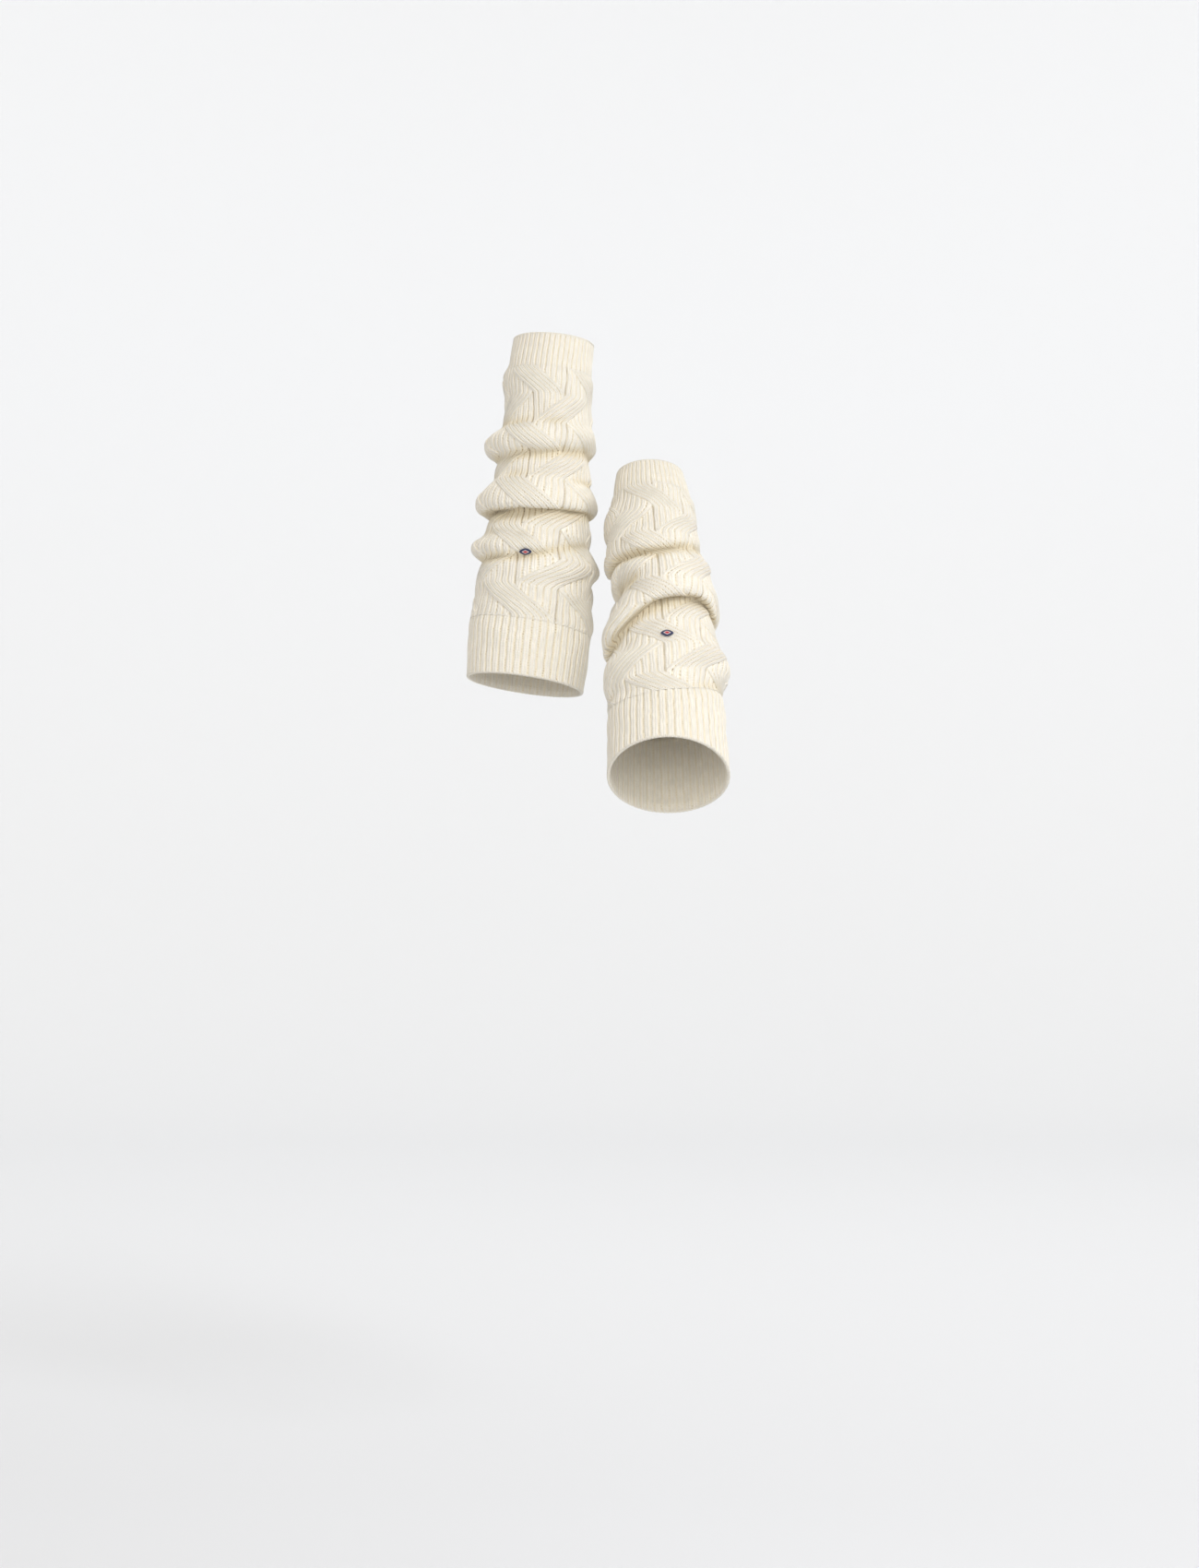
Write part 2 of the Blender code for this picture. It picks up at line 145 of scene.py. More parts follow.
STRAIGHT = Pose(
    name="straight", pitch=6.8, roll_top=5.0, roll_bottom=8.4,
    stations=(
        Station(-38.1, 99.7, 357.9, 35.6, 36.2),
        Station(-42.3, 96.2, 326.2, 37.0, 38.2),
        Station(-44.1, 90.5, 274.0, 38.3, 40.2),
        Station(-48.0, 85.0, 223.6, 42.3, 43.2),
        Station(-53.2, 78.3, 163.3, 47.7, 48.2),
        Station(-56.2, 73.5, 119.3, 52.0, 51.7),
        Station(-60.1, 69.5, 83.0, 54.1, 53.7),
        Station(-64.0, 65.0, 42.2, 51.9, 51.7),
    ),
    folds=(
        Fold("top_puff", Ring(38, 40, 38, 40), Ring(2.5, 2.0, 1.5, 2.0), FLAT, 7, 14),
        Fold("back_roll", Ring(64, 66, 66, 62), Ring(0, 0, 0.5, 6.0), Ring(0, 0, 0, 3), 11, 9),
        Fold("shelf", Ring(96, 92, 87, 96), Ring(14.5, 7.5, 5.5, 9.0), Ring(7, 5, 3, 6), 6.5, 12),
        Fold("shelf_valley", Ring(118, 109, 105, 117), Ring(0, -3.0, -2.5, -1.0), FLAT, 7, 7),
        Fold("right_nick", Ring(137, 137, 132, 137), Ring(0, 0, -2.0, 0), FLAT, 4, 4),
        Fold("skirt", Ring(147, 143.5, 142, 149), Ring(14.0, 9.9, 6.8, 11.0), Ring(12, 14, 7.5, 9),
             7, 9.5),
        Fold("skirt_valley", Ring(166, 165, 160, 165), Ring(-6.5, -3.5, -2.0, -3.5), FLAT, 8, 8),
        Fold("left_roll", Ring(196, 198, 190, 196), Ring(9.5, 3.0, 0, 5.5), Ring(3, 1, 0, 2), 7.5, 9),
        Fold("slant_valley", Ring(211, 204, 187, 207), Ring(-1.5, -3.5, -1.5, -1), FLAT, 6, 6),
        Fold("right_roll", Ring(222, 218, 206, 214), Ring(0, 2.0, 7.0, 4.0), Ring(0, 0, 2, 1), 9, 9),
        Fold("low_back", Ring(240, 240, 240, 243), Ring(0, 0, 0, 4.5), Ring(0, 0, 0, 2), 10, 10),
    ),
    ankle_rim=Ring(0, 0, 0, 0), ankle_seam=Ring(31, 31, 30, 31),
    knee_seam=Ring(265, 266, 268, 266), knee_rim=Ring(318, 317, 318, 318),
    first_crossing=42, last_crossing=249, periods=4, cable_turn=-20,
    emblem_down=202, emblem_turn=-11,
    body_flat=(0.291, 0.261), ankle_flat=(0.231, 0.031), knee_flat=(0.335, 0.052),
)
BENT = Pose(
    name="bent", pitch=31.0, roll_top=0.0, roll_bottom=0.0,
    stations=(
        Station(50.0, 96.2, 234.8, 29.2, 30.2),
        Station(50.9, 87.8, 219.7, 32.7, 33.7),
        Station(52.3, 76.0, 200.0, 36.1, 37.2),
        Station(53.6, 61.0, 172.5, 38.9, 40.2),
        Station(57.4, 35.6, 127.2, 42.3, 43.2),
        Station(60.5, 6.0, 76.2, 46.2, 47.2),
        Station(62.2, -22.6, 27.8, 49.2, 50.2),
        Station(64.0, -65.0, -42.2, 52.3, 52.2),
    ),
    folds=(
        Fold("left_puff", Ring(58, 60, 55, 58), Ring(6.0, 1.0, 0.0, 2.0), FLAT, 12, 14),
        Fold("back_roll", Ring(84, 84, 80, 76), Ring(0, 0, 0, 7.0), Ring(0, 0, 0, 4), 10, 9),
        Fold("brow", Ring(90, 94, 79, 96), Ring(4.0, 6.0, 1.0, 5.0), Ring(5, 7, 1, 6), 12, 8),
        Fold("brow_valley", Ring(103, 110, 88, 111), Ring(-6.0, -4.0, -2.0, -2.0), FLAT, 8, 8),
        Fold("right_swell", Ring(116, 122, 112, 122), Ring(1.0, 3.0, 5.5, 4.0), FLAT, 12, 12),
        Fold("left_nick", Ring(134, 134, 130, 134), Ring(-12.0, 0.0, -1.0, -1.0), FLAT, 9, 12),
        Fold("hood", Ring(176, 143, 139, 151), Ring(6.5, 12.5, 8.0, 11.5), Ring(9.5, 17, 11, 9),
             14, 9),
        Fold("hood_valley", Ring(195, 166, 157, 169), Ring(-3.5, -3.0, -2.5, -2.5), FLAT, 8, 9),
        Fold("low_nick", Ring(204, 196, 190, 196), Ring(-2.0, 0.0, 0.0, -1.0), FLAT, 6, 6),
        Fold("low_swell", Ring(218, 222, 209, 214), Ring(6.0, 3.5, 9.5, 7.0), Ring(1, 0, 1, 1),
             13, 14),
        Fold("cuff_nick", Ring(244, 256, 236, 240), Ring(-1.0, -1.0, -2.0, -1.0), FLAT, 7, 6),
    ),
    ankle_rim=Ring(0, 4, 0, -2), ankle_seam=Ring(28, 32, 30, 30),
    knee_seam=Ring(256, 262, 240, 246), knee_rim=Ring(318, 310, 319, 324),
    first_crossing=48, last_crossing=256, periods=4, cable_turn=-2,
    emblem_down=204, emblem_turn=2,
    body_flat=(0.291, 0.242), ankle_flat=(0.206, 0.030), knee_flat=(0.323, 0.067),
)


def soft_step(t: Array) -> Array:
    """A soft step from 0 to 1: 3t² - 2t³ between 0 and 1.

    Args:
        t: Where along the step.

    Returns:
        The height of the step at each place.
    """
    t = np.clip(t, 0, 1)
    return t * t * (3 - 2 * t)


class Cloth:
    """The smooth surface that one leg warmer's cloth follows.

    A place on it is given by how far down the tube it lies (mm) and its angle round the tube
    (0 at the front, a quarter turn at the viewer's right).
    """

    sag_shift = 0.38
    room_rows = 301
    room_columns = 64
    room_reach = 60
    widest_room = 0.1
    room_share = 0.8
    table_rows = 801
    table_columns = 48
    waves = 7
    own_length = 0.5
    close_room = 8.0
    lump_height = 0.28
    lump_waves = ((3, 47.0, 0.4), (-4, 33.0, 1.9), (6, 29.0, 3.1), (-7, 41.0, 4.4), (9, 23.0, 5.2))
    ankle_fade = 40
    knee_fade = 60
    pressed_floor = -3.0
    pressed_power = 5.0

    def __init__(self, pose: Pose) -> None:
        """Prepares the tables of room in the folds and of the cable's rows.

        Args:
            pose: The worn form that the cloth has.
        """
        self.pose = pose
        self.rows = np.array(pose.stations)
        steps = np.linalg.norm(np.diff(self.rows[:, :3], axis=0), axis=1)
        self.marks = np.concatenate([[0.0], np.cumsum(steps)])
        self.room_table = self._fill_room()
        self.phases, self.share_waves, self.body_length = self._fill_phases()

    def station(self, down: Array) -> Array:
        """Station rows at places down the tube, along a cubic through every row of the table.

        Args:
            down: Places down the tube, in mm.

        Returns:
            Station values, with one more axis than down.
        """
        step = np.diff(self.marks)
        slope = np.diff(self.rows, axis=0) / step[:, None]
        ahead = slope[1:] * step[:-1, None]
        inner = (slope[:-1] * step[1:, None] + ahead) / (step[1:] + step[:-1])[:, None]
        tangent = np.vstack([slope[:1], inner, slope[-1:]])
        i = np.clip(np.searchsorted(self.marks, down) - 1, 0, len(self.marks) - 2)
        width = step[i][..., None]
        t = ((down - self.marks[i]) / step[i])[..., None]
        return ((1 + 2 * t) * (1 - t) ** 2 * self.rows[i] + t * (1 - t) ** 2 * width * tangent[i]
                + t ** 2 * (3 - 2 * t) * self.rows[i + 1] + t ** 2 * (t - 1) * width * tangent[i + 1])

    def middle(self, down: Array, angle: Array) -> Array:
        """Middle of the cloth: an ellipse round the tube's middle, pushed out and sagged by folds.

        Args:
            down: Places down the tube, in mm.
            angle: Angles round the tube.

        Returns:
            Points in metres.
        """
        down, angle = np.broadcast_arrays(down, angle)
        row = self.station(down)
        ends = (self.pose.roll_top, self.pose.roll_bottom)
        roll = np.radians(np.interp(down, (0, self.marks[-1]), ends))
        pitch = math.radians(self.pose.pitch)
        none = np.zeros_like(roll)
        away = np.array([0.0, 1.0, 0.0])
        side = np.stack([np.cos(roll), none, -np.sin(roll)], axis=-1)
        upright = np.stack([np.sin(roll), none, np.cos(roll)], axis=-1)
        up = upright * math.cos(pitch) + away * math.sin(pitch)
        back = away * math.cos(pitch) - upright * math.sin(pitch)
        sine, cosine = np.sin(angle)[..., None], np.cos(angle)[..., None]
        point = row[..., :3] + side * sine * row[..., 3:4] - back * cosine * row[..., 4:5]
        outward = side * sine - back * cosine
        point = point + outward * self._lumps(down, angle)[..., None]
        for fold in self.pose.folds:
            below = down - fold.crest.at(angle)
            push = self._bell(below, fold)
            sag = self._bell(below - self.sag_shift * fold.below, fold)
            point = point + outward * (fold.out.at(angle) * push)[..., None]
            point = point - up * (fold.sag.at(angle) * sag)[..., None]
        return point * MM

    def _lumps(self, down: Array, angle: Array) -> Array:
        """Small soft lumps in mm: a sum of slanting waves, which fades out towards the rims."""
        lumps = np.zeros_like(angle)
        for around, length, start in self.lump_waves:
            lumps = lumps + np.sin(around * angle + TURN * down / length + start)
        fade = soft_step(down / self.ankle_fade) * soft_step((self.marks[-1] - down) / self.knee_fade)
        return self.lump_height * lumps * fade

    @staticmethod
    def _bell(distance: Array, fold: Fold) -> Array:
        """A bell of height 1: e to the minus square of distance over the fold's reach."""
        return np.exp(-(distance / np.where(distance < 0, fold.above, fold.below)) ** 2)

    def normal(self, down: Array, angle: Array) -> Array:
        """Outward unit normals: the cross product of small steps down and round the cloth.

        Args:
            down: Places down the tube, in mm.
            angle: Angles round the tube.

        Returns:
            Unit vectors.
        """
        fall, turn = 0.2, 0.002
        along = self.middle(down + fall, angle) - self.middle(down - fall, angle)
        across = self.middle(down, angle + turn) - self.middle(down, angle - turn)
        normal = np.cross(along, across)
        return normal / np.linalg.norm(normal, axis=-1, keepdims=True)

    def between(self, start: Ring, end: Ring, share: Array, angle: Array) -> Array:
        """How far down a share of the way from one ring to another lies."""
        first = start.at(angle)
        return first + (end.at(angle) - first) * share

    def _fill_room(self) -> Array:
        """Radius of the largest ball that fits against the outside of the body's cloth.

        Returns:
            A table of radii, rows down the body and columns round it.
        """
        share = np.linspace(0, 1, self.room_rows)
        angle_row = np.arange(self.room_columns) * TURN / self.room_columns
        rows, angle = np.meshgrid(share, angle_row, indexing="ij")
        down = self.between(self.pose.ankle_seam, self.pose.knee_seam, rows, angle)
        middle, normal = self.middle(down, angle), self.normal(down, angle)
        room = np.full(rows.shape, self.widest_room)
        for apart in range(1, self.room_reach):
            step = middle[apart:] - middle[:-apart]
            span = (step ** 2).sum(-1) / 2
            leans = ((slice(None, -apart), (step * normal[:-apart]).sum(-1)),
                     (slice(apart, None), -(step * normal[apart:]).sum(-1)))
            for near, lean in leans:
                free = span / np.maximum(lean, span / self.widest_room)
                room[near] = np.minimum(room[near], free)
        return room

    def room(self, down: Array, angle: Array) -> Array:
        """How far out the outside may stand, read from the table between its rows and columns.

        Args:
            down: Places down the tube, in mm.
            angle: Angles round the tube.

        Returns:
            Lengths in metres.
        """
        start, end = self.pose.ankle_seam.at(angle), self.pose.knee_seam.at(angle)
        row = np.clip((down - start) / (end - start), 0, 1) * (self.room_rows - 1)
        column = (angle % TURN) / TURN * self.room_columns
        i = np.minimum(row.astype(int), self.room_rows - 2)
        j = column.astype(int) % self.room_columns
        k = (j + 1) % self.room_columns
        s, t = row - i, column - np.floor(column)
        table = self.room_table
        upper = table[i, j] * (1 - t) + table[i, k] * t
        lower = table[i + 1, j] * (1 - t) + table[i + 1, k] * t
        return (upper * (1 - s) + lower * s) * self.room_share

    def closeness(self, down: Array, angle: Array) -> Array:
        """How deep in a fold a place lies, from 0 to 1: falls off with the room there."""
        return np.exp(-(self.room(down, angle) / (self.close_room * MM)) ** 2)

    def fitted(self, height: Array, down: Array, angle: Array) -> Array:
        """Heights over the cloth's middle, pressed together where a fold leaves little room.

        Measured from a floor, the result is the inverse of the sum of two inverse powers, so it
        keeps to the height where there is room and to the room where there isn't.

        Args:
            height: Wanted heights in metres.
            down: Places down the tube, in mm.
            angle: Angles round the tube.

        Returns:
            Heights in metres.
        """
        floor, power = self.pressed_floor * MM, self.pressed_power
        wanted, free = height - floor, self.room(down, angle) - floor
        return floor + (wanted ** -power + free ** -power) ** (-1 / power)

    def _fill_phases(self) -> tuple[Array, Array, float]:
        """Where the cable's rows lie: each phase's share of the way down, as waves round the tube.

        Half of the spacing follows the cloth's own length at each angle, half its mean length.

        Returns:
            The phases, for each of them the waves of the share round the tube, and the mean length
            of the body's cloth in metres.
        """
        pose = self.pose
        angle_row = np.arange(self.table_columns) * TURN / self.table_columns
        shares = np.linspace(0, 1, self.table_rows)
        rows, angle = np.meshgrid(shares, angle_row, indexing="ij")
        points = self.middle(self.between(pose.ankle_seam, pose.knee_seam, rows, angle), angle)
        length = np.linalg.norm(np.diff(points, axis=0), axis=-1)
        run = np.vstack([np.zeros((1, self.table_columns)), np.cumsum(length, axis=0)])
        body_length = float(run[-1].mean())
        mean = run.mean(axis=1) / body_length
        own = run / run[-1]
        top, bottom = pose.ankle_seam.front, pose.knee_seam.front
        first = np.interp((pose.first_crossing - top) / (bottom - top), shares, mean)
        last = np.interp((pose.last_crossing - top) / (bottom - top), shares, mean)
        spread = self.own_length * own + (1 - self.own_length) * mean[:, None]
        phase = (spread - first) / (last - first) * pose.periods
        phases = np.linspace(phase[0, 0], phase[-1, 0], self.table_rows)
        table = np.stack([np.interp(phases, column, shares) for column in phase.T], axis=1)
        return phases, np.fft.rfft(table, axis=1)[:, :self.waves] / self.table_columns, body_length

    def down_at(self, phase: Array, angle: Array) -> Array:
        """How far down the tube a cable phase lies: the sum of its waves at each angle.

        Args:
            phase: Crossings counted down the body.
            angle: Angles round the tube.

        Returns:
            Places down the tube, in mm.
        """
        share = np.interp(phase, self.phases, self.share_waves[:, 0].real)
        for k in range(1, self.waves):
            real = np.interp(phase, self.phases, self.share_waves[:, k].real)
            other = np.interp(phase, self.phases, self.share_waves[:, k].imag)
            share = share + 2 * (real * np.cos(k * angle) - other * np.sin(k * angle))
        return self.between(self.pose.ankle_seam, self.pose.knee_seam, share, angle)


@dataclass
class Weave:
    """One lattice of points with its stitch depths, which set its painted shade, and the place of each
    corner in the pattern.

    The columns always close into a loop. The rows close too, or end in a cap at each end.
    """

    points: Array
    depth: Array
    pattern: Array
    rows_close: bool

    def faces(self) -> tuple[Whole, Whole, Array]:
        """Quads between neighbouring rows and columns, and the caps.

        Returns:
            The quads, the caps and the pattern places of the quads' corners.
        """
        rows, columns = self.points.shape[:2]
        steps = rows if self.rows_close else rows - 1
        i, j = np.meshgrid(np.arange(steps), np.arange(columns), indexing="ij")
        near, far = i.ravel(), i.ravel() + 1
        left, right = j.ravel(), j.ravel() + 1
        corners = ((near, left), (far, left), (far, right), (near, right))
        quads = np.stack([(r % rows) * columns + c % columns for r, c in corners], axis=1)
        places = np.stack([self.pattern[r, c] for r, c in corners], axis=1)
        if self.rows_close:
            caps = np.zeros((0, columns), dtype=int)
        else:
            start = np.arange(columns)
            caps = np.stack([start, ((rows - 1) * columns + start)[::-1]])
        return quads, caps, places


def make_piece(name: str, weaves: list[Weave], material: bpy.types.Material) -> bpy.types.Object:
    """One object from lattices, with the stitch depth, which sets its painted shade, as an attribute
    and the pattern as a UV map.

    Args:
        name: The piece's name.
        weaves: Its lattices, all with caps of the same size.
        material: What it is made of.

    Returns:
        The new object, linked to the scene.
    """
    quads, caps, places, shift = [], [], [], 0
    for weave in weaves:
        quad, cap, place = weave.faces()
        quads.append(quad + shift)
        caps.append(cap + shift)
        places.append(place)
        shift += weave.depth.size
    quad, cap, place = np.concatenate(quads), np.concatenate(caps), np.concatenate(places)
    mesh = bpy.data.meshes.new(name)
    points = np.concatenate([weave.points.reshape(-1, 3) for weave in weaves])
    mesh.vertices.add(len(points))
    mesh.vertices.foreach_set("co", points.astype(np.float32).ravel())
    corners = np.concatenate([quad.ravel(), cap.ravel()])
    mesh.loops.add(len(corners))
    mesh.loops.foreach_set("vertex_index", corners.astype(np.int32))
    sizes = np.concatenate([np.full(len(quad), 4), np.full(len(cap), cap.shape[1])])
    mesh.polygons.add(len(sizes))
    mesh.polygons.foreach_set("loop_start", (np.cumsum(sizes) - sizes).astype(np.int32))
    mesh.polygons.foreach_set("loop_total", sizes.astype(np.int32))
    mesh.polygons.foreach_set("use_smooth", np.ones(len(sizes), dtype=bool))
    mesh.update(calc_edges=True)
    # The stitch depth sets how much shade is painted into the yarn's colour.
    depth = mesh.attributes.new("painted_shade_depth", "FLOAT", "POINT")
    depth.data.foreach_set("value", np.concatenate([w.depth.ravel() for w in weaves]).astype(np.float32))
    across = mesh.uv_layers.new(name="pattern")
    flat = np.concatenate([place.reshape(-1, 2), np.zeros((cap.size, 2))])
    across.data.foreach_set("uv", flat.astype(np.float32).ravel())
    mesh.materials.append(material)
    mesh.validate()
    piece = bpy.data.objects.new(name, mesh)
    bpy.context.collection.objects.link(piece)
    log.info("%s: %d faces", name, len(mesh.polygons))
    return piece


class Nodes:
    """A short way to add and link the nodes of one material."""

    def __init__(self, name: str) -> None:
        """Starts a material that has only its shader and output.

        Args:
            name: The material's name.
        """
        self.material = bpy.data.materials.new(name)
        self.material.use_nodes = True
        self.tree = self.material.node_tree
        self.shader = self.tree.nodes["Principled BSDF"]

    def add(self, kind: str, **values: object) -> bpy.types.Node:
        """Adds a node and sets its properties by name.

        Args:
            kind: The node's type.
            values: Properties of the node.

        Returns:
            The new node.
        """
        node = self.tree.nodes.new(kind)
        for key, value in values.items():
            setattr(node, key, value)
        return node

    def link(self, start: bpy.types.NodeSocket, end: bpy.types.NodeSocket) -> None:
        """Links an output to an input."""
        self.tree.links.new(start, end)

    def reckon(self, operation: str, *terms: bpy.types.NodeSocket | float) -> bpy.types.NodeSocket:
        """Adds a sum on sockets or numbers.

        Args:
            operation: The Math node's operation.
            terms: Its inputs in order.

        Returns:
            The result's socket.
        """
        node = self.add("ShaderNodeMath", operation=operation)
        for socket, term in zip(node.inputs, terms):
            if isinstance(term, (int, float)):
                socket.default_value = term
            else:
                self.link(term, socket)
        return node.outputs["Value"]

    def noise(self, place: bpy.types.Node, scale: float, detail: float) -> bpy.types.Node:
        """Adds a noise over the object's own coordinates.

        Args:
            place: The node that gives the coordinates.
            scale: How many grains lie in a metre.
            detail: How many finer layers it has.

        Returns:
            The noise node.
        """
        noise = self.add("ShaderNodeTexNoise")
        noise.inputs["Scale"].default_value = scale
        noise.inputs["Detail"].default_value = detail
        self.link(place.outputs["Object"], noise.inputs["Vector"])
        return noise

    def colours(self, share: bpy.types.NodeSocket, stops: tuple[tuple[float, Colour], ...],
                interpolation: str) -> bpy.types.NodeSocket:
        """Adds a ramp of three colours.

        Args:
            share: What the ramp is read at, from 0 to 1.
            stops: Place and colour of each stop.
            interpolation: How the colours run into each other.

        Returns:
            The colour's socket.
        """
        ramp = self.add("ShaderNodeValToRGB")
        ramp.color_ramp.interpolation = interpolation
        ramp.color_ramp.elements.new(0.5)
        for stop, (position, colour) in zip(ramp.color_ramp.elements, stops):
            stop.position = position
            stop.color = colour
        self.link(share, ramp.inputs["Fac"])
        return ramp.outputs["Color"]

    def soften(self, roughness: float, sheen: float) -> None:
        """Sets how rough the surface is and how much sheen it has."""
        self.shader.inputs["Roughness"].default_value = roughness
        self.shader.inputs["Sheen Weight"].default_value = sheen


@dataclass(frozen=True)
class Yarn:
    """A soft matt yarn in V-shaped stitches, with painted shade: pale on its crests, darker in its
    hollows and dark in the pits between the wales.

    The leg values place the two legs of each V across its wale, in wales. The slope is how many
    stitches a leg rises from the wale's middle for each wale across. The shares say how far painted
    shade darkens the colour by the pieces' own depth, by the stitches and in the pits, and
    deep_pit_share adds to the pits' share with the depth. The wobble is the spread of the stitches'
    shift, in wales across and twice as much in rows along. The mottle tints the yarn between the two
    tones as it goes through its range, and the pits show only where it is above its patch start.

    A leg is full within its edge's share of its reach, and the dome's floor is what a leg keeps of
    its height at a stitch's ends. A pit starts at its start from the wale's middle, in wales. Along
    the row its gap says where it starts and where it is full, in half rows from the row's middle.
    """

    name: str
    # crest is the yarn's own pale colour; flank and hollow are painted half shade and deep shade.
    crest: Colour = (0.945, 0.918, 0.862, 1.0)
    flank: Colour = (0.85, 0.75, 0.545, 1.0)
    hollow: Colour = (0.43, 0.31, 0.17, 1.0)
    roughness: float = 0.93
    sheen: float = 0.25
    leg_middle: float = 0.19
    leg_reach: float = 0.20
    leg_edge: float = 0.2
    dome_power: float = 2.5
    dome_floor: float = 0.25
    pit_start: float = 0.38
    gap: tuple[float, float] = (0.25, 0.95)
    slope: float = 1.6
    depth_share: float = 0.24
    stitch_share: float = 0.16
    pit_share: float = 0.07
    deep_pit_share: float = 0.3
    wobble: float = 0.30
    stitch_height: float = 1.0
    pit_height: float = 0.9
    mottle_scale: float = 120.0
    mottle_detail: float = 5.0
    mottle_range: tuple[float, float] = (0.3, 0.7)
    patch_gain: float = 6.0
    patch_start: float = 1 / 3
    tones: tuple[float, float] = (0.93, 1.03)
    sheen_roughness: float = 0.6
    tension_scale: float = 220.0
    fibre_scale: float = 1400.0
    fibre_share: float = 0.25
    bump_strength: float = 0.75

    def material(self) -> bpy.types.Material:
        """Painted shade by depth, stitches and pits, soft mottling, and bump from stitches and loose
        fibres.
        """
        nodes = Nodes(self.name)
        place = nodes.add("ShaderNodeTexCoord")
        mottle = nodes.noise(place, self.mottle_scale, self.mottle_detail).outputs["Fac"]
        loop, pit = self._stitches(nodes, place)
        patch = nodes.reckon("MULTIPLY_ADD", mottle, self.patch_gain, -self.patch_gain * self.patch_start)
        pit = nodes.reckon("MULTIPLY", pit, nodes.reckon("MAXIMUM", patch, 0.0))
        depth = nodes.add("ShaderNodeAttribute", attribute_name="painted_shade_depth").outputs["Fac"]
        # Painted shade: the colour darkens with the depth, between the stitches' legs and in the pits.
        total = nodes.reckon("MULTIPLY", depth, self.depth_share)
        missing = nodes.reckon("SUBTRACT", 1.0, loop)
        total = nodes.reckon("MULTIPLY_ADD", missing, self.stitch_share, total)
        darkening = nodes.reckon("MULTIPLY_ADD", depth, self.deep_pit_share, self.pit_share)
        total = nodes.reckon("MULTIPLY_ADD", pit, darkening, total)
        stops = ((0.0, self.crest), (0.5, self.flank), (1.0, self.hollow))
        colour = nodes.colours(total, stops, "LINEAR")
        tone = nodes.add("ShaderNodeMapRange")
        tone.inputs["From Min"].default_value = self.mottle_range[0]
        tone.inputs["From Max"].default_value = self.mottle_range[1]
        tone.inputs["To Min"].default_value = self.tones[0]
        tone.inputs["To Max"].default_value = self.tones[1]
        nodes.link(mottle, tone.inputs["Value"])
        shade = nodes.add("ShaderNodeVectorMath", operation="SCALE")
        nodes.link(colour, shade.inputs[0])
        nodes.link(tone.outputs["Result"], shade.inputs["Scale"])
        nodes.link(shade.outputs["Vector"], nodes.shader.inputs["Base Color"])
        nodes.soften(self.roughness, self.sheen)
        nodes.shader.inputs["Sheen Roughness"].default_value = self.sheen_roughness
        self._bump(nodes, loop, pit, place)
        return nodes.material

    def _stitches(self, nodes: Nodes,
                  place: bpy.types.Node) -> tuple[bpy.types.NodeSocket, bpy.types.NodeSocket]:
        """Heights of the stitches and depths of the pits, each from 0 to 1.

        A stitch is a leg's width times a dome along it, in a V. A pit lies between two wales,
        once a row. The pattern's places wobble a little, as hand tension does.

        Args:
            nodes: The material's nodes.
            place: The node that gives the coordinates.

        Returns:
            The sockets of the stitches and of the pits.
        """
        pattern = nodes.add("ShaderNodeUVMap", uv_map="pattern")
        tension = nodes.noise(place, self.tension_scale, 1.0)
        shift = nodes.add("ShaderNodeVectorMath", operation="MULTIPLY_ADD")
        shift.inputs[1].default_value = (self.wobble, self.wobble * 2, 0.0)
        nodes.link(tension.outputs["Color"], shift.inputs[0])
        nodes.link(pattern.outputs["UV"], shift.inputs[2])
        centred = nodes.add("ShaderNodeVectorMath", operation="SUBTRACT")
        centred.inputs[1].default_value = (self.wobble / 2, self.wobble, 0.0)
        nodes.link(shift.outputs["Vector"], centred.inputs[0])
        places = nodes.add("ShaderNodeSeparateXYZ")
        nodes.link(centred.outputs["Vector"], places.inputs["Vector"])
        wale = nodes.reckon("SUBTRACT", nodes.reckon("FRACT", places.outputs["X"]), 0.5)
        apart = nodes.reckon("ABSOLUTE", wale)
        off = nodes.reckon("ABSOLUTE", nodes.reckon("SUBTRACT", apart, self.leg_middle))
        width = self._step(nodes, off, self.leg_reach, self.leg_reach * self.leg_edge)
        along = nodes.reckon("MULTIPLY_ADD", apart, self.slope, places.outputs["Y"])
        part = nodes.reckon("MULTIPLY_ADD", nodes.reckon("FRACT", along), 2.0, -1.0)
        fallen = nodes.reckon("POWER", nodes.reckon("ABSOLUTE", part), self.dome_power)
        dome = nodes.reckon("SUBTRACT", 1.0, fallen)
        height = nodes.reckon("MULTIPLY_ADD", dome, 1 - self.dome_floor, self.dome_floor)
        loop = nodes.reckon("MULTIPLY", width, height)
        row = nodes.reckon("MULTIPLY_ADD", nodes.reckon("FRACT", places.outputs["Y"]), 2.0, -1.0)
        gap = self._step(nodes, nodes.reckon("ABSOLUTE", row), *self.gap)
        pit = nodes.reckon("MULTIPLY", self._step(nodes, apart, self.pit_start, 0.5), gap)
        return loop, pit

    @staticmethod
    def _step(nodes: Nodes, value: bpy.types.NodeSocket, start: float,
              end: float) -> bpy.types.NodeSocket:
        """A soft step of a value, 0 at the start and 1 at the end.

        Args:
            nodes: The material's nodes.
            value: The value's socket.
            start: Where the step is 0.
            end: Where the step is 1.

        Returns:
            The step's socket.
        """
        step = nodes.add("ShaderNodeMapRange", interpolation_type="SMOOTHSTEP")
        step.inputs["From Min"].default_value = start
        step.inputs["From Max"].default_value = end
        nodes.link(value, step.inputs["Value"])
        return step.outputs["Result"]

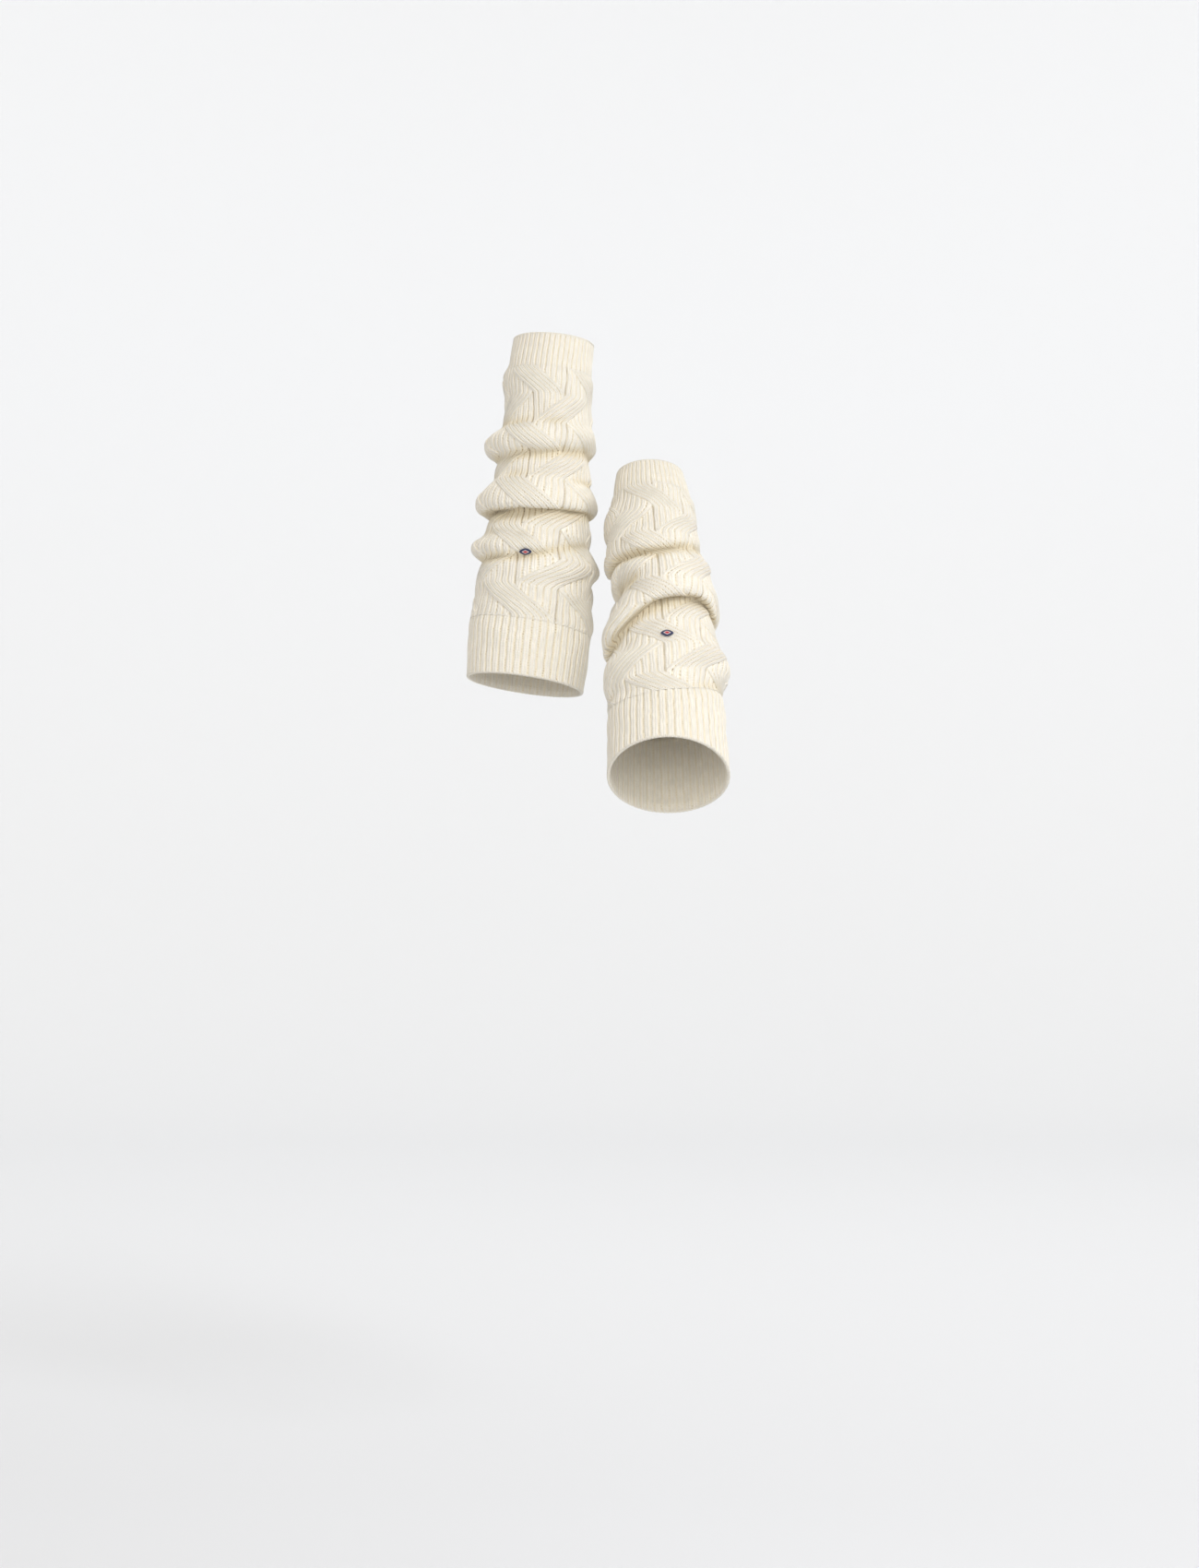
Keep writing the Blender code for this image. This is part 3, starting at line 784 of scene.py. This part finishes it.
    def _bump(self, nodes: Nodes, loop: bpy.types.NodeSocket, pit: bpy.types.NodeSocket,
              place: bpy.types.Node) -> None:
        """The stitches' own height less the pits', and fine fibres over them.

        Args:
            nodes: The material's nodes.
            loop: The stitches' height.
            pit: The pits' depth.
            place: The node that gives the coordinates.
        """
        fibres = nodes.noise(place, self.fibre_scale, 3.0)
        total = nodes.reckon("MULTIPLY_ADD", fibres.outputs["Fac"], self.fibre_share, loop)
        total = nodes.reckon("MULTIPLY_ADD", pit, -self.pit_height, total)
        bump = nodes.add("ShaderNodeBump")
        bump.inputs["Strength"].default_value = self.bump_strength
        bump.inputs["Distance"].default_value = self.stitch_height * MM
        nodes.link(total, bump.inputs["Height"])
        nodes.link(bump.outputs["Normal"], nodes.shader.inputs["Normal"])


@dataclass(frozen=True)
class EmblemThread:
    """Smooth embroidery thread: a navy lozenge with a white and a red one inside."""

    name: str
    navy: Colour = (0.014, 0.02, 0.075, 1.0)
    red: Colour = (0.50, 0.012, 0.03, 1.0)
    white: Colour = (0.82, 0.81, 0.79, 1.0)
    red_reach: float = 0.45
    white_reach: float = 0.60
    roughness: float = 0.5
    sheen: float = 0.2

    def material(self) -> bpy.types.Material:
        """Lozenges inside each other by the pattern's places: red, then white, then navy."""
        nodes = Nodes(self.name)
        pattern = nodes.add("ShaderNodeUVMap", uv_map="pattern")
        size = nodes.add("ShaderNodeSeparateXYZ")
        absolute = nodes.add("ShaderNodeVectorMath", operation="ABSOLUTE")
        nodes.link(pattern.outputs["UV"], absolute.inputs[0])
        nodes.link(absolute.outputs["Vector"], size.inputs["Vector"])
        total = nodes.reckon("ADD", size.outputs["X"], size.outputs["Y"])
        stops = ((0.0, self.red), (self.red_reach, self.white), (self.white_reach, self.navy))
        nodes.link(nodes.colours(total, stops, "CONSTANT"), nodes.shader.inputs["Base Color"])
        nodes.soften(self.roughness, self.sheen)
        return nodes.material


@dataclass(frozen=True)
class Stitch:
    """How a knitted wale stands out, in mm, by the distance from its middle in wales.

    Places runs from the wale's middle to the hollow beside it. Height is the wale's profile there,
    loop how strongly each stitch shows, and lag where in the stitch its crest lies, so that the
    two legs of each loop make a V.
    """

    places: tuple[float, ...]
    height: tuple[float, ...]
    loop: tuple[float, ...]
    lag: tuple[float, ...]

    def relief(self, across: Array, along: Array) -> tuple[Array, Array]:
        """Profile plus a wave along each stitch, shifted towards the wale's middle.

        Args:
            across: Distance from the nearest wale's middle, in wales, up to a half.
            along: Stitches counted down the wale.

        Returns:
            The height in mm and the stitch depth from 0 to 1, which sets the painted shade in the
            hollows.
        """
        apart = np.abs(across)
        height = np.interp(apart, self.places, self.height)
        loop = np.interp(apart, self.places, self.loop)
        wave = np.cos(TURN * (along - np.interp(apart, self.places, self.lag)))
        total = height + loop * wave
        high, low = max(self.height), min(self.height)
        return total, np.clip((high - total) / (high - low), 0, 1.2)


CABLE_STITCH = Stitch(places=(0.0, 0.25, 0.38, 0.5), height=(-0.06, 0.08, -0.12, -0.5),
                      loop=(0.08, 0.16, 0.15, 0.28), lag=(0.33, 0.0, 0.0, 0.5))
RIB_STITCH = Stitch(places=(0.0, 0.20, 0.34, 0.5), height=(-0.06, 0.1, -0.2, -0.75),
                    loop=(0.08, 0.16, 0.15, 0.30), lag=(0.33, 0.0, 0.0, 0.5))


@dataclass(frozen=True)
class Cable:
    """Sizes of the basket cable: a strand lies over its neighbour, then passes under the next."""

    strands: int = 8
    wales: int = 6
    over: float = 0.5
    straightness: float = 0.65
    lift: float = 0.9
    crown: float = 0.7
    base: float = 1.35
    edge_drop: float = 0.9
    thickness: float = 2.0
    tuck: float = 0.09
    tuck_drop: float = 1.0
    lowest: float = 0.0
    underside: float = -1.2
    fold_painted_shade: float = 2.2
    stitches: int = 36
    rows_a_stitch: int = 3
    columns: tuple[float, ...] = (0.0, 0.25, 0.5, 0.75)
    end_fade: float = 0.12
    edge_start: float = 0.9
    underside_painted_shade: float = 0.7

    def arc(self) -> float:
        """The angle that one strand covers."""
        return TURN / self.strands

    def path(self, part: Array) -> Array:
        """Arcs that a strand has moved through its crossing: part straight line, part soft step."""
        t = np.clip(part / self.over + 0.5, 0, 1)
        return self.straightness * t + (1 - self.straightness) * soft_step(t)


class Strands:
    """All lengths of cable strand that travel one way on one leg warmer."""

    fine_rows = 241
    phase_reach = 1.1
    least_shown = 0.2

    def __init__(self, cloth: Cloth, cable: Cable, travel: Travel) -> None:
        """Keeps the cloth that the strands lie on.

        Args:
            cloth: The cloth of the leg warmer.
            cable: The cable's sizes.
            travel: Which way these strands go.
        """
        self.cloth = cloth
        self.cable = cable
        self.travel = travel
        self.top = float(cloth.phases[0])
        self.bottom = float(cloth.phases[-1])

    def _crossings(self) -> list[float]:
        """Phases at the middle of every length that shows on the body."""
        shift = 0.0 if self.travel is Travel.RIGHT else 0.5
        reach = 0.5 + self.cable.over / 2
        first = math.ceil(self.top - reach - shift)
        last = math.floor(self.bottom + reach - shift)
        middles = [whole + shift for whole in range(first, last + 1)]
        shown = reach - self.least_shown
        return [m for m in middles if m + shown > self.top and m - shown < self.bottom]

    def length(self, crossing: float, index: int) -> Weave:
        """One visible length of strand, from under one neighbour, over the next, to under a third.

        Its rows run down the strand and its columns round its section: over the wales on top,
        back along a plain underside. Each wale starts where the neighbour's edge uncovers it.

        Args:
            crossing: The phase at its middle.
            index: Which strand it is.

        Returns:
            Its lattice.
        """
        cable, way = self.cable, self.travel.value
        steps = np.array([k + c for k in range(cable.wales) for c in cable.columns] + [cable.wales])
        side = steps / cable.wales * 2 - 1
        start = crossing - 0.5 - way * cable.over / 2 * side - cable.tuck
        end = start + 1 + 2 * cable.tuck
        rows = cable.stitches * cable.rows_a_stitch + 1
        phase = self._spaced(crossing, side, start, end, rows)
        count = np.arange(rows)[:, None] / cable.rows_a_stitch
        part = phase - crossing
        arcs = 2 * math.floor(crossing + 1e-6) + cable.path(part)
        turn = math.radians(self.cloth.pose.cable_turn)
        angle = (index - 0.5 + way * arcs + side / 2) * cable.arc() + turn
        beyond = np.maximum(start + cable.tuck - phase, phase - (end - cable.tuck))
        tuck = soft_step(beyond / cable.tuck)
        near_end = soft_step(np.minimum(phase - self.top, self.bottom - phase) / cable.end_fade)
        lift = cable.lift * np.cos(TURN * np.clip(part, -0.5, 0.5)) * near_end
        crown = cable.crown * (1 - side ** 2) * near_end
        outermost = np.clip((np.abs(side) - cable.edge_start) / (1 - cable.edge_start), 0, 1)
        edge = cable.edge_drop * outermost * near_end
        relief, depth = CABLE_STITCH.relief(steps % 1 - 0.5, count)
        height = np.maximum(cable.base + lift + crown - edge - cable.tuck_drop * tuck, cable.lowest)
        top = self._raise(phase, angle, height + relief)
        under = np.arange(len(steps) - 1, -1, -len(cable.columns))
        low = np.maximum(height[:, under] - cable.thickness, cable.underside)
        bottom = self._raise(phase[:, under], angle[:, under], low)
        points = np.concatenate([top, bottom], axis=1)
        # Painted shade in the folds: the deeper a place lies in a fold, the darker its colour.
        depth = depth + cable.fold_painted_shade * self.cloth.closeness(self.cloth.down_at(phase, angle), angle)
        # The strands' undersides get an even painted shade.
        depths = np.concatenate([depth, np.full((rows, len(under)), cable.underside_painted_shade)], axis=1)
        across = np.append(steps, np.full(len(under) + 1, cable.wales))
        places = np.stack(np.broadcast_arrays(across, count), axis=-1)
        return Weave(points, depths, places, rows_close=False)

    def _spaced(self, crossing: float, side: Array, start: Array, end: Array, rows: int) -> Array:
        """Phases of the rows, evenly spaced along each wale.

        The distance is down the strand plus, on the crossing, across it times the lean, so that
        the courses turn with the strand.

        Args:
            crossing: The phase at the middle.
            side: Places across the strand, from -1 to 1.
            start: First phase of each column.
            end: Last phase of each column.
            rows: How many rows.

        Returns:
            Phases, rows by columns.
        """
        cable = self.cable
        fall = self.cloth.body_length / (self.bottom - self.top)
        turned = np.array([0.0])
        down = self.cloth.down_at(np.clip(np.array([crossing]), self.top, self.bottom), turned)
        width = float(self.cloth.station(down)[0, 3:5].mean()) * MM * cable.arc()
        phase = np.linspace(-self.phase_reach, self.phase_reach, self.fine_rows)
        sideways = cable.path(phase) * width
        run = np.hypot(np.diff(sideways), np.diff(phase) * fall)
        run = np.concatenate([[0.0], np.cumsum(run)])
        lean = math.sin(math.atan2(width, cable.over * fall))
        lean_here = lean * (0.5 + 0.5 * np.cos(TURN * np.clip(phase, -0.5, 0.5)))
        share = np.linspace(0, 1, rows)
        columns = []
        for place, first, last in zip(side, start - crossing, end - crossing):
            distance = run + self.travel.value * place * width / 2 * lean_here
            near, far = np.interp((first, last), phase, distance)
            columns.append(np.interp(near + (far - near) * share, distance, phase))
        return np.clip(crossing + np.stack(columns, axis=1), self.top, self.bottom)

    def _raise(self, phase: Array, angle: Array, height: Array) -> Array:
        """Points at a height (mm) over the cloth's middle, kept out of the folds' far side."""
        down = self.cloth.down_at(phase, angle)
        rise = self.cloth.fitted(height * MM, down, angle)
        return self.cloth.middle(down, angle) + self.cloth.normal(down, angle) * rise[..., None]

    def build(self, material: bpy.types.Material) -> bpy.types.Object:
        """Every length that travels this way, as one piece.

        Args:
            material: The yarn.

        Returns:
            The piece.
        """
        weaves = [self.length(crossing, index) for crossing in self._crossings()
                  for index in range(0, self.cable.strands, 2)]
        name = f"{self.cloth.pose.name}_cable_{self.travel.name.lower()}"
        return make_piece(name, weaves, material)


@dataclass(frozen=True)
class Ground:
    """The thin knitted tube that the cable's strands lie on."""

    cloth: Cloth
    outside: float = -0.8
    inside: float = -1.8
    columns: int = 96
    outer_rows: int = 200
    inner_rows: int = 90
    stitches: int = 112
    wales: int = 48
    painted_shade_depth: float = 0.5

    def build(self, material: bpy.types.Material) -> bpy.types.Object:
        """A closed wall: down the outside, then back up the inside.

        Args:
            material: The yarn.

        Returns:
            The piece.
        """
        pose = self.cloth.pose
        outer, inner = np.linspace(0, 1, self.outer_rows), np.linspace(1, 0, self.inner_rows)
        down_share = np.concatenate([outer, inner])
        phases = self.cloth.phases[0] + (self.cloth.phases[-1] - self.cloth.phases[0]) * down_share
        angle_row = np.arange(self.columns) * TURN / self.columns
        phase, angle = np.meshgrid(phases, angle_row, indexing="ij")
        down = self.cloth.down_at(phase, angle)
        height = np.where(np.arange(len(phases)) < self.outer_rows, self.outside, self.inside)[:, None]
        rise = self.cloth.fitted(height * MM, down, angle)[..., None]
        points = self.cloth.middle(down, angle) + self.cloth.normal(down, angle) * rise
        # The ground lies under the strands and gets an even painted shade.
        depth = np.full(phase.shape, self.painted_shade_depth)
        count = np.append(down_share, down_share[:1]) * self.stitches
        wales = np.arange(self.columns + 1) * self.wales / self.columns
        places = np.stack(np.meshgrid(wales + 0.5, count), axis=-1)
        weave = Weave(points, depth, places, rows_close=True)
        return make_piece(pose.name + "_ground", [weave], material)


@dataclass(frozen=True)
class Cuff:
    """A ribbed cuff: 48 raised wales with deep hollows between them, plain inside."""

    cloth: Cloth
    end: End
    ribs: int = 48
    base: float = 1.55
    inside: float = -1.2
    overlap: float = 1.3
    blend: float = 5.0
    body_base: float = 1.15
    stitch: float = 2.25
    rows_a_stitch: int = 3
    columns: tuple[float, ...] = (0.0, 0.25, 0.5, 0.75)
    inner_rows: int = 10
    start_turn: float = TURN / 16
    inside_painted_shade: float = 0.6

    def rings(self) -> tuple[Ring, Ring]:
        """The cuff's upper and lower edges."""
        pose = self.cloth.pose
        if self.end is End.ANKLE:
            return pose.ankle_rim, Ring(*(value + self.overlap for value in pose.ankle_seam))
        return Ring(*(value - self.overlap for value in pose.knee_seam)), pose.knee_rim

    def build(self, material: bpy.types.Material) -> bpy.types.Object:
        """A closed wall whose outside carries the ribs and their stitches.

        Args:
            material: The yarn.

        Returns:
            The piece.
        """
        start, last = self.rings()
        tall = sum(last) / 4 - sum(start) / 4
        stitches = round(tall / self.stitch)
        outer = np.linspace(0, 1, stitches * self.rows_a_stitch + 1)
        share = np.concatenate([outer, np.linspace(1, 0, self.inner_rows)])
        steps = np.array([k + c for k in range(self.ribs) for c in self.columns])
        turn = math.radians(self.cloth.pose.cable_turn)
        angle_row = steps / self.ribs * TURN + turn + self.start_turn
        rows, angle = np.meshgrid(share, angle_row, indexing="ij")
        down = self.cloth.between(start, last, rows, angle)
        across, count = steps % 1 - 0.5, (share * stitches)[:, None]
        relief, depth = RIB_STITCH.relief(across, count)
        body_relief, body_depth = CABLE_STITCH.relief(across, count)
        from_body = (1 - share if self.end is End.ANKLE else share)[:, None] * tall
        own = soft_step(from_body / self.blend)
        height = (self.base + relief) * own + (self.body_base + body_relief) * (1 - own)
        depth = depth * own + body_depth * (1 - own)
        outside = (np.arange(len(share)) < len(outer))[:, None]
        height = np.where(outside, height, self.inside)
        # The inside gets an even painted shade.
        depth = np.where(outside, depth, self.inside_painted_shade)
        normal = self.cloth.normal(down, angle)
        points = self.cloth.middle(down, angle) + normal * (height * MM)[..., None]
        wales = np.append(steps, self.ribs)
        places = np.stack(np.meshgrid(wales, np.append(share, share[:1]) * stitches), axis=-1)
        name = f"{self.cloth.pose.name}_{self.end.value}_ribbing"
        return make_piece(name, [Weave(points, depth, places, rows_close=True)], material)


@dataclass(frozen=True)
class Edge:
    """The corded edge of an opening: a round cord of slanting knots."""

    cloth: Cloth
    end: End
    knots: int = 96
    columns_a_knot: int = 4
    section: int = 8
    radius: float = 1.25
    swell: float = 0.32
    out: float = 0.2
    slant: float = 1.0
    inset: float = 0.6
    # depth is how much shade is painted between the knots.
    depth: float = 0.35

    def build(self, material: bpy.types.Material) -> bpy.types.Object:
        """A tube round the rim whose radius swells once a knot, later round its section.

        Args:
            material: The yarn.

        Returns:
            The piece.
        """
        pose = self.cloth.pose
        ring = pose.ankle_rim if self.end is End.ANKLE else pose.knee_rim
        way = 1.0 if self.end is End.ANKLE else -1.0
        columns = self.knots * self.columns_a_knot
        angle_row = np.arange(columns) * TURN / columns
        down = ring.at(angle_row)
        middle, normal = self.cloth.middle(down, angle_row), self.cloth.normal(down, angle_row)
        along = self.cloth.middle(down + 0.5, angle_row) - self.cloth.middle(down - 0.5, angle_row)
        along = along / np.linalg.norm(along, axis=-1, keepdims=True)
        turn = np.arange(self.section) * TURN / self.section
        wave = np.cos(self.knots * angle_row[None, :] + self.slant * turn[:, None])
        radius = (self.radius + self.swell * wave)[..., None] * MM
        outward, downward = np.cos(turn)[:, None, None], np.sin(turn)[:, None, None]
        centre = middle + normal * self.out * MM + along * way * self.inset * MM
        points = centre + (normal * outward + along * downward) * radius
        # Painted shade between the knots, where the cord is thinnest.
        depth = self.depth - self.depth * wave
        knots = np.arange(len(angle_row) + 1) / self.columns_a_knot
        places = np.stack(np.meshgrid(knots, np.arange(self.section + 1) / 4), axis=-1)
        name = f"{pose.name}_{self.end.value}_edge"
        return make_piece(name, [Weave(points, depth, places, rows_close=True)], material)


@dataclass(frozen=True)
class Emblem:
    """A small embroidered lozenge on the front, in satin stitches."""

    cloth: Cloth
    half_width: float = 5.6
    half_height: float = 3.2
    bow: float = 0.75
    stand: float = 3.9
    thick: float = 0.8
    rings: int = 9
    spokes: int = 96
    threads: float = 22.0
    innermost: float = 0.04
    ridge: float = 0.12
    bulge: float = 0.35

    def build(self, material: bpy.types.Material) -> bpy.types.Object:
        """Rings of a lozenge, over its top and back under it, ridged by upright threads.

        A ring's points are the cosine and sine of each spoke, raised to a power that pulls the
        sides in from an ellipse towards a lozenge.

        Args:
            material: The thread.

        Returns:
            The piece.
        """
        pose = self.cloth.pose
        turn = np.arange(self.spokes) * TURN / self.spokes
        power = 1 / self.bow
        wide = np.sign(np.sin(turn)) * np.abs(np.sin(turn)) ** power
        tall = -np.sign(np.cos(turn)) * np.abs(np.cos(turn)) ** power
        rings = np.linspace(self.innermost, 1, self.rings)
        size = np.concatenate([rings, [1.0, self.innermost]])[:, None]
        across, upward = size * wide, size * tall
        at = np.array([float(pose.emblem_down)])
        facing = np.array([math.radians(pose.emblem_turn)])
        middle, normal = self.cloth.middle(at, facing)[0], self.cloth.normal(at, facing)[0]
        up = np.array([0.0, 0.0, 1.0]) - normal * normal[2]
        up = up / np.linalg.norm(up)
        right = np.cross(up, -normal)
        top = (np.arange(len(size)) < self.rings)[:, None]
        thread = np.cos(self.threads * math.pi * across)
        ridge = self.ridge * thread * np.sqrt(np.clip(1 - size, 0, 1))
        bulge = self.bulge * (1 - size ** 3)
        height = np.where(top, self.thick + bulge + ridge, 0.0) + self.stand
        points = (middle + right * across[..., None] * self.half_width * MM
                  + up * upward[..., None] * self.half_height * MM + normal * height[..., None] * MM)
        places = np.stack([across, upward], axis=-1)
        places = np.concatenate([places, places[:1]])
        places = np.concatenate([places, places[:, :1]], axis=1)
        weave = Weave(points, np.zeros(across.shape), places, rows_close=False)
        return make_piece(pose.name + "_badge", [weave], material)


class LegWarmer:
    """One leg warmer: its cloth and all the pieces knitted on it."""

    def __init__(self, pose: Pose) -> None:
        """Works out the cloth.

        Args:
            pose: The worn form.
        """
        self.pose = pose
        self.cloth = Cloth(pose)

    def build(self, ribbing: bpy.types.Material, cabling: bpy.types.Material,
              thread: bpy.types.Material) -> None:
        """Builds the pieces and says what each replaces and rides on.

        Args:
            ribbing: The yarn of the cuffs.
            cabling: The yarn of the body.
            thread: The emblem's thread.
        """
        name = self.pose.name
        ground = Ground(self.cloth).build(cabling)
        strands = [Strands(self.cloth, Cable(), travel).build(cabling) for travel in Travel]
        badge = Emblem(self.cloth).build(thread)
        bodies = [f"{name}_{part}_body" for part in ("upper", "middle", "lower")]
        for piece in (ground, *strands):
            self._settle(piece, "cable_knit", bodies)
        self._settle(badge, "emblem_thread", [name + "_emblem"])
        flats = {End.ANKLE: self.pose.ankle_flat, End.KNEE: self.pose.knee_flat}
        for end, flat in flats.items():
            cuff = Cuff(self.cloth, end).build(ribbing)
            edge = Edge(self.cloth, end).build(ribbing)
            for piece in (cuff, edge):
                self._settle(piece, "rib_knit", [f"{name}_{end.value}_cuff"])

    @staticmethod
    def _settle(piece: bpy.types.Object, slot: str, nodes: list[str]) -> None:
        """Makes a piece ride on the root and replace its nodes."""
        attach(piece, "root")
        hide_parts(*nodes)


class Light(NamedTuple):
    """A square soft light: its place, the point it faces, its side in metres, watts and colour."""

    name: str
    place: Place
    aim: Place
    size: float
    power: float
    colour: tuple[float, float, float]


PAIR = (0.0, 0.03, 0.13)
PAPER = (0.0, 4.5, 0.5)
LIGHTS = (
    Light("key", (1.5, -2.3, 2.3), PAIR, 1.2, 43.5, (0.98, 0.99, 1.0)),
    Light("front", (0.1, -2.8, 0.7), PAIR, 1.4, 21.5, (0.985, 0.995, 1.0)),
    Light("side", (2.2, -0.6, 0.9), PAIR, 1.2, 10.0, (1.0, 0.985, 0.965)),
    Light("fill", (-1.8, -1.6, 0.5), PAIR, 2.0, 6.0, (1.0, 0.92, 0.80)),
    Light("rim", (0.2, 1.4, 1.8), PAIR, 1.6, 9.0, (1.0, 0.99, 0.97)),
    Light("wash_left", (-2.6, 1.5, 2.2), PAPER, 2.0, 28.0, (0.98, 0.99, 1.0)),
    Light("wash_right", (2.6, 1.5, 2.2), PAPER, 2.0, 28.0, (0.98, 0.99, 1.0)),
)


@dataclass(frozen=True)
class Studio:
    """The pale floor and backdrop, the soft lights and the camera at the photo's view."""

    floor: float = -0.68
    # The near paper is darker as painted shade, against the stronger light on the near floor.
    near_paper_painted_shade: Colour = (0.735, 0.75, 0.785, 1.0)
    far_paper: Colour = (0.93, 0.948, 0.98, 1.0)
    paper_roughness: float = 0.9
    front_end: float = -6.0
    bend_start: float = 3.0
    bend: float = 1.5
    bend_steps: int = 25
    wall_top: float = 7.0
    half_width: float = 8.0
    sky: Colour = (1.0, 0.955, 0.88, 1.0)
    sky_strength: float = 0.55
    camera_place: Place = (0.00386, -3.0, -0.047)
    view_height: float = 1.394
    sensor: float = 36.0

    def build(self) -> None:
        """Floor, lights, sky and camera."""
        self._backdrop()
        for light in LIGHTS:
            self._light(light)
        world = bpy.data.worlds.new("studio")
        world.use_nodes = True
        sky = world.node_tree.nodes["Background"]
        sky.inputs["Color"].default_value = self.sky
        sky.inputs["Strength"].default_value = self.sky_strength
        bpy.context.scene.world = world
        bpy.context.scene.view_settings.view_transform = "Standard"
        self._camera()

    def _backdrop(self) -> None:
        """A sweep: a floor that rises in a quarter circle into a wall behind, paler further off."""
        turn = np.linspace(0, math.pi / 2, self.bend_steps)
        end = self.bend_start + self.bend
        along = np.concatenate([[self.front_end], self.bend_start + self.bend * np.sin(turn), [end]])
        height = np.concatenate([[0.0], self.bend * (1 - np.cos(turn)), [self.wall_top]]) + self.floor
        n = len(along)
        sides = [np.full(n, -self.half_width), np.full(n, self.half_width)]
        points = np.concatenate([np.stack([side, along, height], 1) for side in sides])
        faces = [(i + n, i + n + 1, i + 1, i) for i in range(n - 1)]
        mesh = bpy.data.meshes.new("backdrop")
        mesh.from_pydata(points.tolist(), [], faces)
        mesh.polygons.foreach_set("use_smooth", np.ones(len(faces), dtype=bool))
        nodes = Nodes("pale_paper")
        place = nodes.add("ShaderNodeTexCoord")
        parts = nodes.add("ShaderNodeSeparateXYZ")
        nodes.link(place.outputs["Object"], parts.inputs["Vector"])
        share = nodes.add("ShaderNodeMapRange")
        share.inputs["From Min"].default_value = 0.0
        share.inputs["From Max"].default_value = end
        nodes.link(parts.outputs["Y"], share.inputs["Value"])
        # Painted shade: darker towards the camera to offset the light that falls there; both papers are
        # tinted blue against the warm sky.
        paper = nodes.add("ShaderNodeMix", data_type="RGBA")
        paper.inputs["A"].default_value = self.near_paper_painted_shade
        paper.inputs["B"].default_value = self.far_paper
        nodes.link(share.outputs["Result"], paper.inputs["Factor"])
        nodes.link(paper.outputs["Result"], nodes.shader.inputs["Base Color"])
        nodes.shader.inputs["Roughness"].default_value = self.paper_roughness
        mesh.materials.append(nodes.material)
        backdrop = bpy.data.objects.new("backdrop", mesh)
        bpy.context.collection.objects.link(backdrop)

    @staticmethod
    def _light(light: Light) -> None:
        """Places one light and turns it to face its aim."""
        data = bpy.data.lights.new(light.name, "AREA")
        data.size = light.size
        data.energy = light.power
        data.color = light.colour
        lamp = bpy.data.objects.new(light.name, data)
        lamp.location = light.place
        ahead = np.array(light.aim) - np.array(light.place)
        flat = math.hypot(ahead[0], ahead[1])
        lamp.rotation_euler = (math.atan2(flat, -ahead[2]), 0.0, math.atan2(-ahead[0], ahead[1]))
        bpy.context.collection.objects.link(lamp)

    def _camera(self) -> None:
        """A level camera whose upright view takes in view_height at the origin."""
        data = bpy.data.cameras.new("camera")
        data.sensor_fit = "VERTICAL"
        data.sensor_height = self.sensor
        data.lens = self.sensor * -self.camera_place[1] / self.view_height
        camera = bpy.data.objects.new("camera", data)
        camera.location = self.camera_place
        camera.rotation_euler = (math.pi / 2, 0.0, 0.0)
        bpy.context.collection.objects.link(camera)
        bpy.context.scene.camera = camera


def main() -> None:
    """Builds the studio and both leg warmers."""
    logging.basicConfig(level=logging.INFO, format="%(message)s")
    Studio().build()
    ribbing = Yarn("rib_yarn").material()
    cabling = Yarn("cable_yarn", depth_share=0.18).material()
    thread = EmblemThread("emblem_thread").material()
    for pose in (STRAIGHT, BENT):
        LegWarmer(pose).build(ribbing, cabling, thread)


if __name__ == "__main__":
    main()
